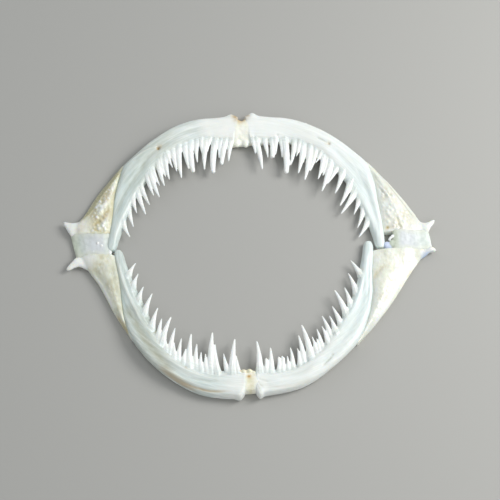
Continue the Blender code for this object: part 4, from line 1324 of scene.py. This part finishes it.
def set_camera():
    """Camera that looks down on the ring from the near side."""
    turn = math.radians(CAMERA_ELEVATION)
    aim = Vector(CAMERA_AIM)
    back = Vector((0.0, -math.cos(turn), math.sin(turn)))
    camera = bpy.data.objects.new("camera", bpy.data.cameras.new("camera"))
    camera.data.lens = CAMERA_LENS
    camera.data.sensor_width = CAMERA_SENSOR
    camera.data.sensor_fit = "HORIZONTAL"
    camera.data.clip_start = 0.01
    camera.data.clip_end = 20.0
    camera.location = (aim + back * CAMERA_DISTANCE) * MM
    camera.rotation_euler = (-back).to_track_quat("-Z", "Y").to_euler()
    bpy.context.scene.collection.objects.link(camera)
    bpy.context.scene.camera = camera


def add_light(name, place, size, power, colour):
    """Soft box that faces the ring's centre."""
    data = bpy.data.lights.new(name, "AREA")
    data.shape = "SQUARE"
    data.size = size
    data.energy = power
    data.color = srgb(colour)[:3]
    lamp = bpy.data.objects.new(name, data)
    lamp.location = place
    lamp.rotation_euler = Vector(place).to_track_quat("Z", "Y").to_euler()
    bpy.context.scene.collection.objects.link(lamp)


def set_stage():
    """Plain pale floor and soft light, stronger from the right. Lights' places are in metres."""
    shape = bmesh.new()
    bmesh.ops.create_grid(shape, x_segments=1, y_segments=1, size=3.0)
    data = bpy.data.meshes.new("floor")
    shape.to_mesh(data)
    shape.free()
    floor = bpy.data.objects.new("floor", data)
    bpy.context.scene.collection.objects.link(floor)
    paper = start_material("pale_paper", {"Base Color": srgb("#abaaa6"), "Roughness": 0.8})[0]
    data.materials.append(paper)
    world = bpy.data.worlds.new("soft_room")
    world.use_nodes = True
    world.node_tree.nodes["Background"].inputs["Color"].default_value = srgb("#eaeef0")
    world.node_tree.nodes["Background"].inputs["Strength"].default_value = 0.47
    bpy.context.scene.world = world
    add_light("window_right", (0.42, 0.10, 0.38), 0.28, 2.6, "#fdfdfc")
    add_light("fill_left", (-0.50, 0.35, 0.45), 0.5, 1.0, "#f0f5fa")
    add_light("fill_front", (0.20, -0.46, 0.42), 0.4, 0.8, "#fbfcfc")
    bpy.context.scene.view_settings.view_transform = "Standard"


def build():
    """Makes every piece, hides the solid that it stands for, and sets the camera, floor and lights."""
    set_camera()
    bone = bone_and_teeth()
    plate = plate_bone()
    dentaries = {}
    plates = {}
    for name, half in HALVES.items():
        dentaries[name] = make_dentary(name + "_dentary_bone", half, random.Random(TOOTH_SEED))
        finish(dentaries[name], bone, name + "_dentary")
        plates[name] = make_articular(name + "_articular_bone", half, PLATES[name])
        finish(plates[name], plate, name + "_articular")
    grey = cartilage()
    waxy = ligament()
    for side, rim in (("left", 0.7), ("right", 0.0)):
        names = ("upper_" + side, "lower_" + side)
        joint = make_joint(side + "_joint_cartilage", [HALVES[name] for name in names],
                           [plates[name] for name in names], rim, JOINT_KNOBS[side])
        finish(joint, grey, side + "_joint")
    for jaw, notch in (("upper", NOTCH), ("lower", 0.0)):
        names = (jaw + "_left", jaw + "_right")
        band = make_ligament(jaw + "_ligament_band", [HALVES[name] for name in names],
                             [dentaries[name] for name in names], notch, LIGAMENT_KNOBS[jaw],
                             LIGAMENT_SPOTS[jaw])
        finish(band, waxy, jaw + "_ligament")
    set_stage()


build()
